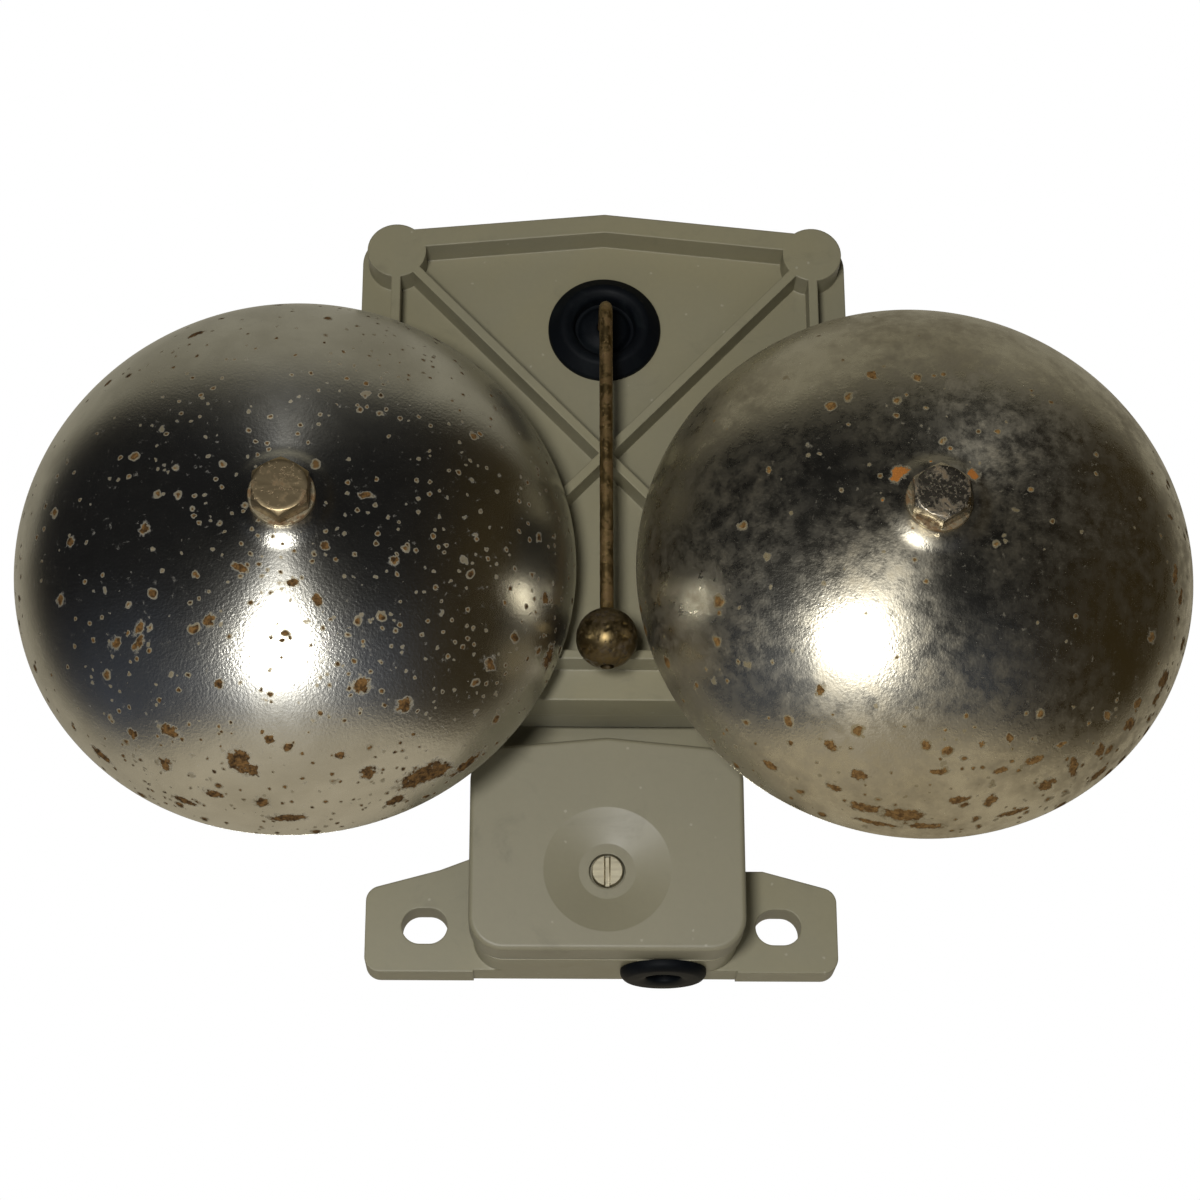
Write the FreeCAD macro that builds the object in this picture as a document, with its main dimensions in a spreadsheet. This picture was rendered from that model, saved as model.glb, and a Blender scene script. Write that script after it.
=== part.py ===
"""Wall bell with two gongs: a weatherproof housing, a terminal box and a swinging striker.

Frame: X to the right, Z up, the front of the bell faces -Y.  The wall lies at Y = 0 and the
origin is midway between the two fixing slots.  "Depth" below is the distance in front of the
wall, so a point at depth D has Y = -D.
"""
import FreeCAD, Part
import math
import os
import re
import Sketcher

Vector = FreeCAD.Vector
TO_FRONT = FreeCAD.Rotation(Vector(1, 0, 0), 90)

# Driving sizes, in millimetres unless a comment says otherwise.
SIZES = {
    # Gongs: pressed domes whose curve is height * (1 - (r / radius) ** crown) ** (1 / side).
    "gong_radius": 52.5,
    "gong_rise": 32.8,
    "gong_crown_power": 3.07,
    "gong_side_power": 1.68,
    "gong_wall": 1.3,
    "gong_half_gap": 5.6,
    "gong_height": 59.8,
    "rim_gap": 2.8,
    "seat_margin": 0.6,
    "seat_rise": 0.6,
    "seat_blend": 3.6,
    # Gong fastening: hexagon bolt, steel washer, fibre washer, pillar and cross arm.
    "bolt_shank_radius": 3.0,
    "bolt_length": 16.0,
    "bolt_across_flats": 10.0,
    "bolt_head_rise": 4.0,
    "bolt_clearance": 0.2,
    "washer_radius": 6.0,
    "washer_thickness": 1.0,
    "fibre_washer_thickness": 0.8,
    "pillar_radius": 5.0,
    "pillar_gap": 4.9,
    "arm_width": 16.0,
    "arm_thickness": 3.0,
    "arm_overhang": 8.0,
    "arm_clearance": 0.2,
    "arm_screw_inner": 14.0,
    "arm_screw_outer": 35.0,
    # Housing: outline, walls and depths.
    "boss_below_gong": 16.1,
    "boss_above_shaft": 14.4,
    "corner_radius": 7.0,
    "shoulder_rise": 4.4,
    "gable_rise": 4.1,
    "cover_clearance": 3.1,
    "cover_skirt": 8.8,
    "lip_depth": 6.9,
    "body_inset": 2.0,
    "housing_wall": 2.5,
    "back_wall": 3.0,
    # Cover: ribs, rim and bosses that stand in front of the panel.
    "rib_rise": 6.0,
    "rib_width": 1.8,
    "rim_width": 4.0,
    "crossing_rise": 25.2,
    "boss_radius": 5.8,
    "column_radius": 3.6,
    "cover_screw_radius": 2.0,
    "cover_screw_head": 3.2,
    "cover_head_rise": 2.4,
    "cover_screw_bite": 9.0,
    "gasket_width": 1.9,
    "gasket_thickness": 1.2,
    "gasket_margin": 1.2,
    # Terminal box and its lid.
    "box_shift": 0.7,
    "lid_half_width": 26.1,
    "lid_low": -8.4,
    "lid_top_gap": 3.3,
    "lid_gable": 2.5,
    "lid_corner": 6.7,
    "lid_depth": 22.7,
    "lid_skirt": 7.5,
    "lid_wall": 2.2,
    "lid_skirt_wall": 3.4,
    "lid_edge": 1.0,
    "box_inset": 0.8,
    "box_wall": 2.4,
    "box_drop": 0.2,
    "lid_screw_height": 7.2,
    "dish_radius": 12.1,
    "land_radius": 5.4,
    "dish_drop": 1.8,
    "lid_screw_hole": 3.45,
    "lid_screw_sink": 1.6,
    "lid_screw_floor": 1.0,
    "lid_screw_radius": 1.75,
    "lid_screw_head": 2.95,
    "lid_screw_rise": 2.2,
    "lid_screw_length": 12.0,
    "lid_gasket_width": 1.2,
    "lid_gasket_thickness": 1.0,
    # Ears with the two wall slots.
    "ear_thickness": 7.0,
    "ear_drop": 0.4,
    "ear_tip": 7.2,
    "ear_slope": 3.9,
    "gusset_rise": 2.6,
    "ear_rim": 7.0,
    "knee_gap": 5.2,
    "ear_corner": 3.0,
    "slot_gap": 3.6,
    "slot_length": 8.8,
    "slot_width": 7.0,
    # Hanging pocket in the back, for a screw head.
    "hanger_below_shaft": 14.2,
    "hanger_head_radius": 4.5,
    "hanger_neck_radius": 2.4,
    "hanger_drop": 8.0,
    "hanger_pocket": 3.5,
    "hanger_wall": 2.0,
    # Striker: one bent rod that turns in two bushes, with a ball on its end.
    "rod_radius": 1.3,
    "rod_ahead": 3.9,
    "rod_bend": 3.5,
    "ball_radius": 5.75,
    "ball_drop": 15.3,
    "tail_gap": 1.2,
    # Front grommet: a rubber ring with a thin hub round the rod.
    "seal_radius": 11.1,
    "seal_rise": 3.3,
    "seal_crest_radius": 8.6,
    "seal_well_radius": 5.9,
    "seal_hub_radius": 5.2,
    "seal_hub_rise": 2.0,
    "seal_neck_radius": 8.4,
    "seal_back_radius": 9.8,
    "seal_back_thickness": 1.6,
    # Cable grommet in the floor of the terminal box.
    "entry_offset": 11.0,
    "entry_wall_gap": 0.15,
    "entry_flange_radius": 8.25,
    "entry_flange_thickness": 2.2,
    "entry_neck_radius": 4.7,
    "entry_lip_radius": 5.2,
    "entry_bore_radius": 3.3,
    # Movement: plate, yoke, coils, magnet, armature and bearings.
    "movement_gap": 2.5,
    "plate_margin": 3.0,
    "plate_tail": 2.0,
    "plate_lip": 2.6,
    "plate_standoff": 3.0,
    "plate_thickness": 1.5,
    "post_margin": 4.5,
    "post_above_yoke": 4.5,
    "post_above_shaft": 7.8,
    "post_radius": 3.5,
    "small_screw_radius": 1.45,
    "small_screw_head": 2.7,
    "small_head_rise": 1.8,
    "yoke_screw_spread": 10.0,
    "yoke_screw_bite": 6.0,
    "plate_screw_bite": 4.0,
    "yoke_margin": 3.5,
    "yoke_rise": 5.5,
    "yoke_front": 5.8,
    "core_radius": 3.5,
    "core_rise": 32.8,
    "core_proud": 2.8,
    "core_gap": 1.1,
    "coil_clearance": 1.2,
    "bobbin_radius": 10.0,
    "bobbin_flange": 1.2,
    "bobbin_tube_wall": 0.8,
    "winding_margin": 0.8,
    "magnet_half_width": 3.0,
    "magnet_gap": 1.0,
    "magnet_reach": 11.0,
    "magnet_drop": 8.8,
    "pole_margin": 1.0,
    "armature_thickness": 3.6,
    "armature_reach": 11.0,
    "hub_radius": 4.0,
    "grub_radius": 1.25,
    "bush_radius": 3.0,
    "bush_flange_radius": 4.2,
    "bush_flange": 0.8,
    "bush_clearance": 1.5,
    "bridge_half_width": 7.0,
    "bridge_clearance": 2.4,
    "bridge_thickness": 1.5,
    "bridge_screw_margin": 1.6,
    "bridge_screw_spread": 3.8,
    # Terminal block and the two leads to the coils.
    "block_half_width": 13.0,
    "block_top_gap": 9.4,
    "block_height": 10.0,
    "block_rise": 8.0,
    "terminal_spread": 6.5,
    "terminal_radius": 2.4,
    "terminal_bore": 1.3,
    "terminal_overhang": 1.0,
    "block_screw_bite": 2.0,
    "lead_radius": 0.8,
    "lead_hole_radius": 3.6,
    "lead_depth": 9.0,
    "lead_pair_spread": 1.1,
    "lead_inset": 2.0,
    "lead_gap": 2.5,
    # Clearances between pieces that fit together.
    "fit_gap": 0.05,
    "assembly_gap": 0.2,
}

# Sizes and places that follow from the driving sizes, each from what it rests on or clears.
PLACES = {
    "gong_spread": "gong_radius + gong_half_gap",
    "seat_radius": "washer_radius + seat_margin",
    "seat_blend_radius": "seat_radius + seat_blend",
    "boss_spread": "gong_spread - pillar_radius - pillar_gap - corner_radius",
    "boss_low": "gong_height - boss_below_gong",
    "yoke_low": "gong_height + arm_width / 2 + arm_clearance + housing_wall + movement_gap",
    "yoke_top": "yoke_low + yoke_rise",
    "shaft_height": "yoke_top + core_rise + core_gap + armature_thickness / 2",
    "boss_high": "shaft_height + boss_above_shaft",
    "gable_shoulder": "boss_high + shoulder_rise",
    "gable_peak": "gable_shoulder + gable_rise",
    "plate_back": "back_wall + plate_standoff",
    "plate_front": "plate_back + plate_thickness",
    "coil_depth": "plate_front + bobbin_radius + coil_clearance",
    "panel_depth": "coil_depth + bobbin_radius + cover_clearance + housing_wall",
    "split_depth": "panel_depth - cover_skirt",
    "lip_back": "split_depth - lip_depth",
    "rib_front": "panel_depth + rib_rise",
    "rib_crossing": "gong_height + crossing_rise",
    "gong_rim_depth": "rib_front + rim_gap",
    "gong_seat": "gong_rim_depth + gong_rise + seat_rise",
    "pillar_front": "gong_seat - gong_wall - fibre_washer_thickness",
    "arm_front": "arm_clearance + arm_thickness",
    "arm_boss_front": "back_wall + arm_thickness + cover_screw_bite",
    "cover_screw_seat": "back_wall + cover_screw_head",
    "body_low": "boss_low - corner_radius + body_inset",
    "body_floor": "body_low + housing_wall",
    "lid_peak": "boss_low - corner_radius - lid_top_gap",
    "lid_shoulder": "lid_peak - lid_gable",
    "passage_low": "lid_peak - box_inset - 2 * box_wall",
    "box_low": "lid_low - box_drop",
    "box_front": "lid_depth - lid_skirt",
    "lid_land": "lid_depth - dish_drop",
    "lid_screw_seat": "lid_land - lid_screw_sink",
    "lid_column_front": "lid_screw_seat - lid_screw_floor",
    "ear_low": "box_low - ear_drop",
    "ear_root": "ear_tip + ear_slope",
    "ear_gusset": "ear_root + gusset_rise",
    "ear_knee": "lid_half_width + knee_gap",
    "slot_spread": "lid_half_width + slot_gap + slot_length / 2",
    "ear_reach": "slot_spread + slot_length / 2 + ear_rim",
    "hanger_height": "shaft_height - hanger_below_shaft",
    "rod_depth": "gong_rim_depth + rod_ahead",
    "ball_height": "gong_height - ball_drop",
    "shaft_tail": "back_wall + tail_gap",
    "entry_depth": "entry_flange_radius + entry_wall_gap",
    "core_spread": "bobbin_radius + magnet_half_width + magnet_gap",
    "bobbin_height": "core_rise - core_proud",
    "magnet_rise": "core_rise - magnet_drop",
    "armature_half_length": "core_spread + core_radius + pole_margin",
    "yoke_half_width": "core_spread + core_radius + yoke_margin",
    "yoke_reach": "bobbin_radius + coil_clearance + yoke_front",
    "plate_half_width": "yoke_half_width + plate_margin",
    "plate_low": "yoke_low - plate_tail",
    "bridge_height": "shaft_height + hub_radius + bridge_clearance",
    "bridge_screw_height": "bridge_height + bridge_thickness + small_screw_head + bridge_screw_margin",
    "bridge_leg": "coil_depth + armature_reach / 2 + bush_flange + bush_clearance",
    "plate_high": "bridge_screw_height + plate_lip",
    "post_spread": "plate_half_width - post_margin",
    "post_low": "yoke_top + post_above_yoke",
    "post_high": "shaft_height + post_above_shaft",
    "block_low": "lid_peak - block_top_gap - block_height",
    "lead_coil_spread": "core_spread - lead_inset",
    "lead_coil_depth": "plate_front + yoke_reach + lead_gap",
}

doc = FreeCAD.newDocument("WallBell")
sheet = doc.addObject("Spreadsheet::Sheet", "Sizes")
for row, (alias, number) in enumerate(SIZES.items(), start=1):
    sheet.set("A%d" % row, alias)
    sheet.set("B%d" % row, str(number))
    sheet.setAlias("B%d" % row, alias)

nodes = {}


def linked(text, other_sheet="Places."):
    """Point each size named in an expression at its cell; a sheet names its own cells plainly."""
    def cell(match):
        word = match.group(0)
        if word in SIZES:
            return "Sizes." + word
        return other_sheet + word if word in PLACES else word
    return re.sub(r"[a-z_]+[a-z0-9_]*", cell, text)


places_sheet = doc.addObject("Spreadsheet::Sheet", "Places")
for row, (alias, formula) in enumerate(PLACES.items(), start=1):
    places_sheet.set("A%d" % row, alias)
    places_sheet.set("B%d" % row, "=" + linked(formula, ""))
    places_sheet.setAlias("B%d" % row, alias)
doc.recompute()


def value(text):
    """Work out an expression of named sizes, in millimetres."""
    result = sheet.evalExpression(linked(text))
    return float(getattr(result, "Value", result))


def bind(thing, **settings):
    """Bind properties of an object to expressions of named sizes."""
    for name, text in settings.items():
        thing.setExpression(name, linked(text))


def place(thing, x="0", depth="0", z="0", rotation=None):
    """Put an object at a point given by expressions, turned if asked."""
    if rotation is not None:
        thing.Placement = FreeCAD.Placement(Vector(), rotation)
    thing.setExpression("Placement.Base.x", linked(x))
    thing.setExpression("Placement.Base.y", linked("-(" + depth + ")"))
    thing.setExpression("Placement.Base.z", linked(z))
    return thing


def node(label, thing):
    """Name a finished sub-part."""
    thing.Label = label
    nodes[label] = thing
    return thing


# Sketches and features of the moulded pieces.

def new_sketch(body, role, offset):
    """Start a sketch on one of the body's own planes, at a distance along its normal."""
    plane = [p for p in body.Origin.OriginFeatures if p.Role == role][0]
    sketch = body.newObject("Sketcher::SketchObject", body.Name + "Sketch")
    sketch.AttachmentSupport = [(plane, "")]
    sketch.MapMode = "FlatFace"
    sketch.setExpression("AttachmentOffset.Base.z", linked(offset))
    return sketch


def hold_point(sketch, index, end, x, y):
    """Tie a point of a sketch to two expressions."""
    for kind, text, axis in (("DistanceX", x, -2), ("DistanceY", y, -1)):
        if text == "0":
            sketch.addConstraint(Sketcher.Constraint("PointOnObject", index, end, axis))
            continue
        number = sketch.addConstraint(Sketcher.Constraint(kind, -1, 1, index, end, value(text)))
        sketch.setExpression("Constraints[%d]" % number, linked(text))


def add_outline(sketch, corners):
    """Draw a closed outline of straight lines through corners given by expressions."""
    points = [Vector(value(x), value(y), 0) for x, y in corners]
    first = len(sketch.Geometry)
    count = len(points)
    for step in range(count):
        sketch.addGeometry(Part.LineSegment(points[step], points[(step + 1) % count]), False)
    for step in range(count):
        following = first + (step + 1) % count
        sketch.addConstraint(Sketcher.Constraint("Coincident", first + step, 2, following, 1))
    for step, (x, y) in enumerate(corners):
        hold_point(sketch, first + step, 1, x, y)


def add_circle(sketch, x, y, radius):
    """Draw a circle whose centre and radius are expressions."""
    centre = Vector(value(x), value(y), 0)
    index = sketch.addGeometry(Part.Circle(centre, Vector(0, 0, 1), value(radius)), False)
    hold_point(sketch, index, 3, x, y)
    number = sketch.addConstraint(Sketcher.Constraint("Radius", index, value(radius)))
    sketch.setExpression("Constraints[%d]" % number, linked(radius))


def front_sketch(body, depth):
    """Start a sketch seen from the front: its x is X and its y is Z."""
    return new_sketch(body, "XZ_Plane", depth)


def pad(body, sketch, length):
    """Raise a sketch towards the front."""
    feature = body.newObject("PartDesign::Pad", body.Name + "Pad")
    feature.Profile = sketch
    bind(feature, Length=length)
    body.Tip = feature
    return feature


def pocket(body, sketch, length, to_front=False):
    """Sink a sketch towards the wall, or towards the front."""
    feature = body.newObject("PartDesign::Pocket", body.Name + "Pocket")
    feature.Profile = sketch
    feature.Reversed = to_front
    bind(feature, Length=length)
    body.Tip = feature
    return feature


def pad_outline(body, depth, length, corners):
    """Raise one straight-sided outline."""
    sketch = front_sketch(body, depth)
    add_outline(sketch, corners)
    return pad(body, sketch, length)


def pad_circles(body, depth, length, centres, radius):
    """Raise equal circles."""
    sketch = front_sketch(body, depth)
    for x, z in centres:
        add_circle(sketch, x, z, radius)
    return pad(body, sketch, length)


def pocket_outline(body, depth, length, corners, to_front=False):
    """Sink one straight-sided outline."""
    sketch = front_sketch(body, depth)
    add_outline(sketch, corners)
    return pocket(body, sketch, length, to_front)


def pocket_circles(body, depth, length, centres, radius, to_front=False):
    """Sink equal circles."""
    sketch = front_sketch(body, depth)
    for x, z in centres:
        add_circle(sketch, x, z, radius)
    return pocket(body, sketch, length, to_front)


def round_edges(body, radius, chosen):
    """Round the edges of the body's last feature that a test picks."""
    doc.recompute()
    base = body.Tip
    names = []
    for number, edge in enumerate(base.Shape.Edges, start=1):
        if chosen(edge):
            names.append("Edge%d" % number)
    feature = body.newObject("PartDesign::Fillet", body.Name + "Fillet")
    feature.Base = (base, names)
    bind(feature, Radius=radius)
    body.Tip = feature
    return feature


def runs_to_front(edge):
    """Tell whether an edge is straight and square to the wall."""
    if edge.Curve.TypeId != "Part::GeomLine":
        return False
    return abs(abs(edge.tangentAt(edge.FirstParameter).y) - 1) < 1e-6


def turned(label, profile, x, z):
    """Make a body of revolution about a line square to the wall, from (radius, depth) corners."""
    body = doc.addObject("PartDesign::Body", label + "_body")
    sketch = new_sketch(body, "XY_Plane", "0")
    add_outline(sketch, [(radius, "-(" + depth + ")") for radius, depth in profile])
    feature = body.newObject("PartDesign::Revolution", label + "_turn")
    feature.Profile = sketch
    feature.ReferenceAxis = (sketch, ["V_Axis"])
    feature.Angle = 360
    body.Tip = feature
    place(body, x, "0", z)
    return node(label, body)


# Plain solids for the turned, punched and bent metal pieces.

def cylinder(radius, length, x, depth, z, rotation=TO_FRONT):
    """Make a round bar from a point towards the front, or along the given turn of Z."""
    thing = doc.addObject("Part::Cylinder", "Bar")
    bind(thing, Radius=radius, Height=length)
    return place(thing, x, depth, z, rotation)


def block(x_low, x_size, depth_low, depth_size, z_low, z_size):
    """Make a square block from its lowest X, depth and Z and its sizes."""
    thing = doc.addObject("Part::Box", "Block")
    bind(thing, Length=x_size, Width=depth_size, Height=z_size)
    return place(thing, x_low, "(" + depth_low + ") + (" + depth_size + ")", z_low)


def hexagon(across_flats, length, x, depth, z):
    """Make a hexagonal bar towards the front, with two of its flats upright."""
    thing = doc.addObject("Part::Prism", "Hexagon")
    thing.Polygon = 6
    bind(thing, Circumradius="(" + across_flats + ") / sqrt(3)", Height=length)
    turn = FreeCAD.Rotation(Vector(1, 0, 0), 90).multiply(FreeCAD.Rotation(Vector(0, 0, 1), 30))
    return place(thing, x, depth, z, turn)


def cone(radius_back, radius_front, length, x, depth, z):
    """Make a cone towards the front."""
    thing = doc.addObject("Part::Cone", "Cone")
    bind(thing, Radius1=radius_back, Radius2=radius_front, Height=length)
    return place(thing, x, depth, z, TO_FRONT)


def joined(*things):
    """Join solids into one."""
    result = doc.addObject("Part::MultiFuse", "Joined")
    result.Shapes = list(things)
    return result


def cut(base, *tools):
    """Cut solids out of another."""
    for tool in tools:
        result = doc.addObject("Part::Cut", "Cut")
        result.Base = base
        result.Tool = tool
        base = result
    return base


def common(first, second):
    """Keep what two solids share."""
    result = doc.addObject("Part::Common", "Common")
    result.Base = first
    result.Tool = second
    return result


def group(label, things):
    """Keep like pieces together as separate solids of one sub-part."""
    result = doc.addObject("Part::Compound", label + "_group")
    result.Links = list(things)
    return node(label, result)


def ring(outer, inner, length, x, depth, z, rotation=TO_FRONT):
    """Make a round tube or washer."""
    return cut(cylinder(outer, length, x, depth, z, rotation),
               cylinder(inner, length, x, depth, z, rotation))


SIDES = (-1, 1)
UPRIGHT = FreeCAD.Rotation()
BOSSES = [("-boss_spread", "boss_low"), ("boss_spread", "boss_low"),
          ("-boss_spread", "boss_high"), ("boss_spread", "boss_high")]
POSTS = [("-post_spread", "post_low"), ("post_spread", "post_low"),
         ("-post_spread", "post_high"), ("post_spread", "post_high")]
ARM_SCREWS = [("-arm_screw_outer", "gong_height"), ("-arm_screw_inner", "gong_height"),
              ("arm_screw_inner", "gong_height"), ("arm_screw_outer", "gong_height")]
LID_SCREW = ("box_shift", "lid_screw_height")
BLOCK_SCREW = ("box_shift", "block_low + block_height / 2")


def housing_corners(inset):
    """List the housing's outline, drawn in by an inset, without its round corners."""
    low = "boss_low - corner_radius + (" + inset + ")"
    side = "boss_spread + corner_radius - (" + inset + ")"
    shoulder = "gable_shoulder - (" + inset + ")"
    return [("-boss_spread", low), ("boss_spread", low), (side, "boss_low"), (side, "boss_high"),
            ("boss_spread", shoulder), ("0", "gable_peak - (" + inset + ")"),
            ("-boss_spread", shoulder), ("-(" + side + ")", "boss_high"),
            ("-(" + side + ")", "boss_low")]


def pad_housing(body, depth, length, inset):
    """Raise the housing's outline with its round corners."""
    pad_outline(body, depth, length, housing_corners(inset))
    pad_circles(body, depth, length, BOSSES, "corner_radius - (" + inset + ")")


def pocket_housing(body, depth, length, inset):
    """Hollow the housing's outline with its round corners, towards the wall."""
    pocket_outline(body, depth, length, housing_corners(inset))
    pocket_circles(body, depth, length, BOSSES, "corner_radius - (" + inset + ")")


def box_corners(side_inset, low, top_inset):
    """List the terminal box's outline with a gable top, without its round corners."""
    left = "box_shift - lid_half_width + (" + side_inset + ")"
    right = "box_shift + lid_half_width - (" + side_inset + ")"
    shoulder = "lid_shoulder - (" + top_inset + ")"
    return [(left, low), (right, low), (right, shoulder),
            ("box_shift", "lid_peak - (" + top_inset + ")"), (left, shoulder)]


def near(number, text):
    """Tell whether a number is the value of an expression."""
    return abs(number - value(text)) < 0.01


def stands_at(edge, x, z):
    """Tell whether an edge is square to the wall and passes through X, Z."""
    return runs_to_front(edge) and near(edge.CenterOfMass.x, x) and near(edge.CenterOfMass.z, z)


def stands_at_any(points, from_depth="0"):
    """Make a test for edges square to the wall at one of several points, in front of a depth."""
    return lambda edge: (edge.BoundBox.YMax < 0.01 - value(from_depth)
                         and any(stands_at(edge, x, z) for x, z in points))


def build_base():
    """Make the rear moulding: housing body, joint lip, terminal box and ears with slots."""
    body = doc.addObject("PartDesign::Body", "BaseBody")
    add_ears(body)
    add_terminal_box(body)
    pad_housing(body, "0", "lip_back", "body_inset")
    pad_housing(body, "lip_back", "lip_depth", "0.0")
    pocket_housing(body, "split_depth", "split_depth - back_wall", "body_inset + housing_wall")
    pocket_outline(body, "box_front", "box_front - back_wall",
                   box_corners("box_inset + box_wall", "box_low + box_wall", "box_inset + box_wall"))
    add_inner_bosses(body)
    sink_back(body)
    sink_slots(body)
    groove = housing_ring("split_depth - gasket_thickness", "gasket_thickness", "gasket_margin",
                          "gasket_margin + gasket_width")
    passage = cylinder("lead_hole_radius", "body_floor - passage_low + box_wall",
                       "box_shift", "lead_depth", "passage_low", UPRIGHT)
    entry = cylinder("entry_neck_radius + fit_gap", "3 * box_wall", "box_shift + entry_offset",
                     "entry_depth", "box_low - box_wall", UPRIGHT)
    return node("base_housing", cut(body, groove, passage, entry))


def add_ears(body):
    """Raise the two ears, with a gusset where the left one meets the terminal box."""
    box_left = "box_shift - lid_half_width + box_inset"
    box_right = "box_shift + lid_half_width - box_inset"
    pad_outline(body, "0", "ear_thickness", [
        ("-ear_reach", "ear_low"), (box_left, "ear_low"), (box_left, "box_low"),
        (box_right, "box_low"), (box_right, "ear_low"), ("ear_reach", "ear_low"),
        ("ear_reach", "ear_tip"),
        ("ear_knee", "ear_root"), ("0", "ear_root"), (box_left, "ear_gusset"),
        ("-ear_knee", "ear_root"), ("-ear_reach", "ear_tip")])
    tips = [("%d * ear_reach" % side, z) for side in SIDES for z in ("ear_low", "ear_tip")]
    round_edges(body, "ear_corner", stands_at_any(tips))


def add_terminal_box(body):
    """Raise the terminal box up to the housing and round its two lower corners."""
    corners = box_corners("box_inset", "box_low", "box_inset")
    left, right = corners[0], corners[1]
    top_right, top_left = (right[0], "body_floor"), (left[0], "body_floor")
    pad_outline(body, "0", "box_front", [left, right, top_right, top_left])
    round_edges(body, "lid_corner - box_inset", stands_at_any([left, right], "ear_thickness"))


def add_inner_bosses(body):
    """Raise the columns and pads that stand inside the rear moulding."""
    pad_circles(body, "0", "split_depth", BOSSES, "column_radius")
    pad_circles(body, "0", "cover_screw_seat + housing_wall", BOSSES, "corner_radius - body_inset")
    pad_circles(body, "0", "plate_back", POSTS, "post_radius")
    half_band = "(arm_width / 2 + arm_clearance + housing_wall)"
    inside = "(boss_spread + corner_radius - body_inset - housing_wall / 2)"
    low, high = "gong_height - " + half_band, "gong_height + " + half_band
    pad_outline(body, "0", "back_wall + arm_thickness",
                [("-" + inside, low), (inside, low), (inside, high), ("-" + inside, high)])
    pad_circles(body, "0", "arm_boss_front", ARM_SCREWS, "cover_screw_radius + housing_wall")
    pad_circles(body, "0", "lid_column_front", [LID_SCREW], "lid_screw_radius + box_wall")
    pad_circles(body, "0", "hanger_pocket + hanger_wall",
                [("0", "hanger_height"), ("0", "hanger_height - hanger_drop")],
                "hanger_head_radius + hanger_wall")


def sink_back(body):
    """Sink the arm's channel, the hanging pocket and the screw holes."""
    reach = "(gong_spread + arm_overhang + arm_clearance)"
    half_arm = "(arm_width / 2 + arm_clearance)"
    low, high = "gong_height - " + half_arm, "gong_height + " + half_arm
    pocket_outline(body, "0", "arm_front",
                   [("-" + reach, low), (reach, low), (reach, high), ("-" + reach, high)],
                   to_front=True)
    pocket_circles(body, "0", "split_depth", BOSSES, "cover_screw_radius + assembly_gap", to_front=True)
    pocket_circles(body, "0", "cover_screw_seat", BOSSES, "cover_screw_head + assembly_gap",
                   to_front=True)
    pocket_circles(body, "plate_back", "plate_screw_bite + fit_gap", POSTS,
                   "small_screw_radius + fit_gap")
    pocket_circles(body, "0", "arm_boss_front - housing_wall", ARM_SCREWS,
                   "cover_screw_radius + fit_gap", to_front=True)
    pocket_circles(body, "lid_column_front", "lid_screw_length", [LID_SCREW],
                   "lid_screw_radius + fit_gap")
    pocket_circles(body, "back_wall", "block_screw_bite + fit_gap", [BLOCK_SCREW],
                   "small_screw_radius + fit_gap")
    neck_low = "hanger_height - hanger_drop"
    pocket_circles(body, "0", "hanger_pocket", [("0", neck_low)], "hanger_head_radius",
                   to_front=True)
    pocket_outline(body, "0", "hanger_pocket", [
        ("-hanger_neck_radius", neck_low), ("hanger_neck_radius", neck_low),
        ("hanger_neck_radius", "hanger_height"), ("-hanger_neck_radius", "hanger_height")],
        to_front=True)
    pocket_circles(body, "0", "hanger_pocket", [("0", "hanger_height")], "hanger_neck_radius",
                   to_front=True)


def sink_slots(body):
    """Sink the wall slots, each a straight middle with two round ends."""
    radius = "slot_width / 2"
    middle = "(slot_length - slot_width) / 2"
    for side in SIDES:
        left = "%d * slot_spread - %s" % (side, middle)
        right = "%d * slot_spread + %s" % (side, middle)
        pocket_outline(body, "ear_thickness", "ear_thickness",
                       [(left, "-" + radius), (right, "-" + radius), (right, radius), (left, radius)])
        pocket_circles(body, "ear_thickness", "ear_thickness", [(left, "0")], radius)
        pocket_circles(body, "ear_thickness", "ear_thickness", [(right, "0")], radius)


def housing_ring(depth, thickness, outer_inset, inner_inset):
    """Make a flat ring that follows the housing's outline."""
    body = doc.addObject("PartDesign::Body", "RingBody")
    pad_housing(body, depth, thickness, outer_inset)
    pocket_housing(body, "(" + depth + ") + (" + thickness + ")", thickness, inner_inset)
    return body


def build_cover():
    """Make the front cover: a shallow shell with a gable rim, ribs and blind bosses."""
    body = doc.addObject("PartDesign::Body", "CoverBody")
    pad_housing(body, "split_depth", "cover_skirt", "0.0")
    pocket_housing(body, "panel_depth - housing_wall", "cover_skirt - housing_wall", "housing_wall")
    pad_circles(body, "split_depth", "rib_front - split_depth", BOSSES, "column_radius")
    pad_circles(body, "panel_depth", "rib_rise", BOSSES, "boss_radius")
    pad_outline(body, "panel_depth", "rib_rise", [
        ("-boss_spread", "gable_shoulder"), ("-boss_spread", "gable_shoulder - rim_width"),
        ("0", "gable_peak - rim_width"), ("boss_spread", "gable_shoulder - rim_width"),
        ("boss_spread", "gable_shoulder"), ("0", "gable_peak")])
    pad_straight_ribs(body)
    for side in SIDES:
        pad_diagonal_rib(body, side)
    pocket_circles(body, "panel_depth", "housing_wall", [("0", "shaft_height")],
                   "seal_neck_radius + fit_gap")
    pocket_circles(body, "split_depth", "cover_screw_bite + housing_wall", BOSSES,
                   "cover_screw_radius + fit_gap", to_front=True)
    return node("front_cover", body)


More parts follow.
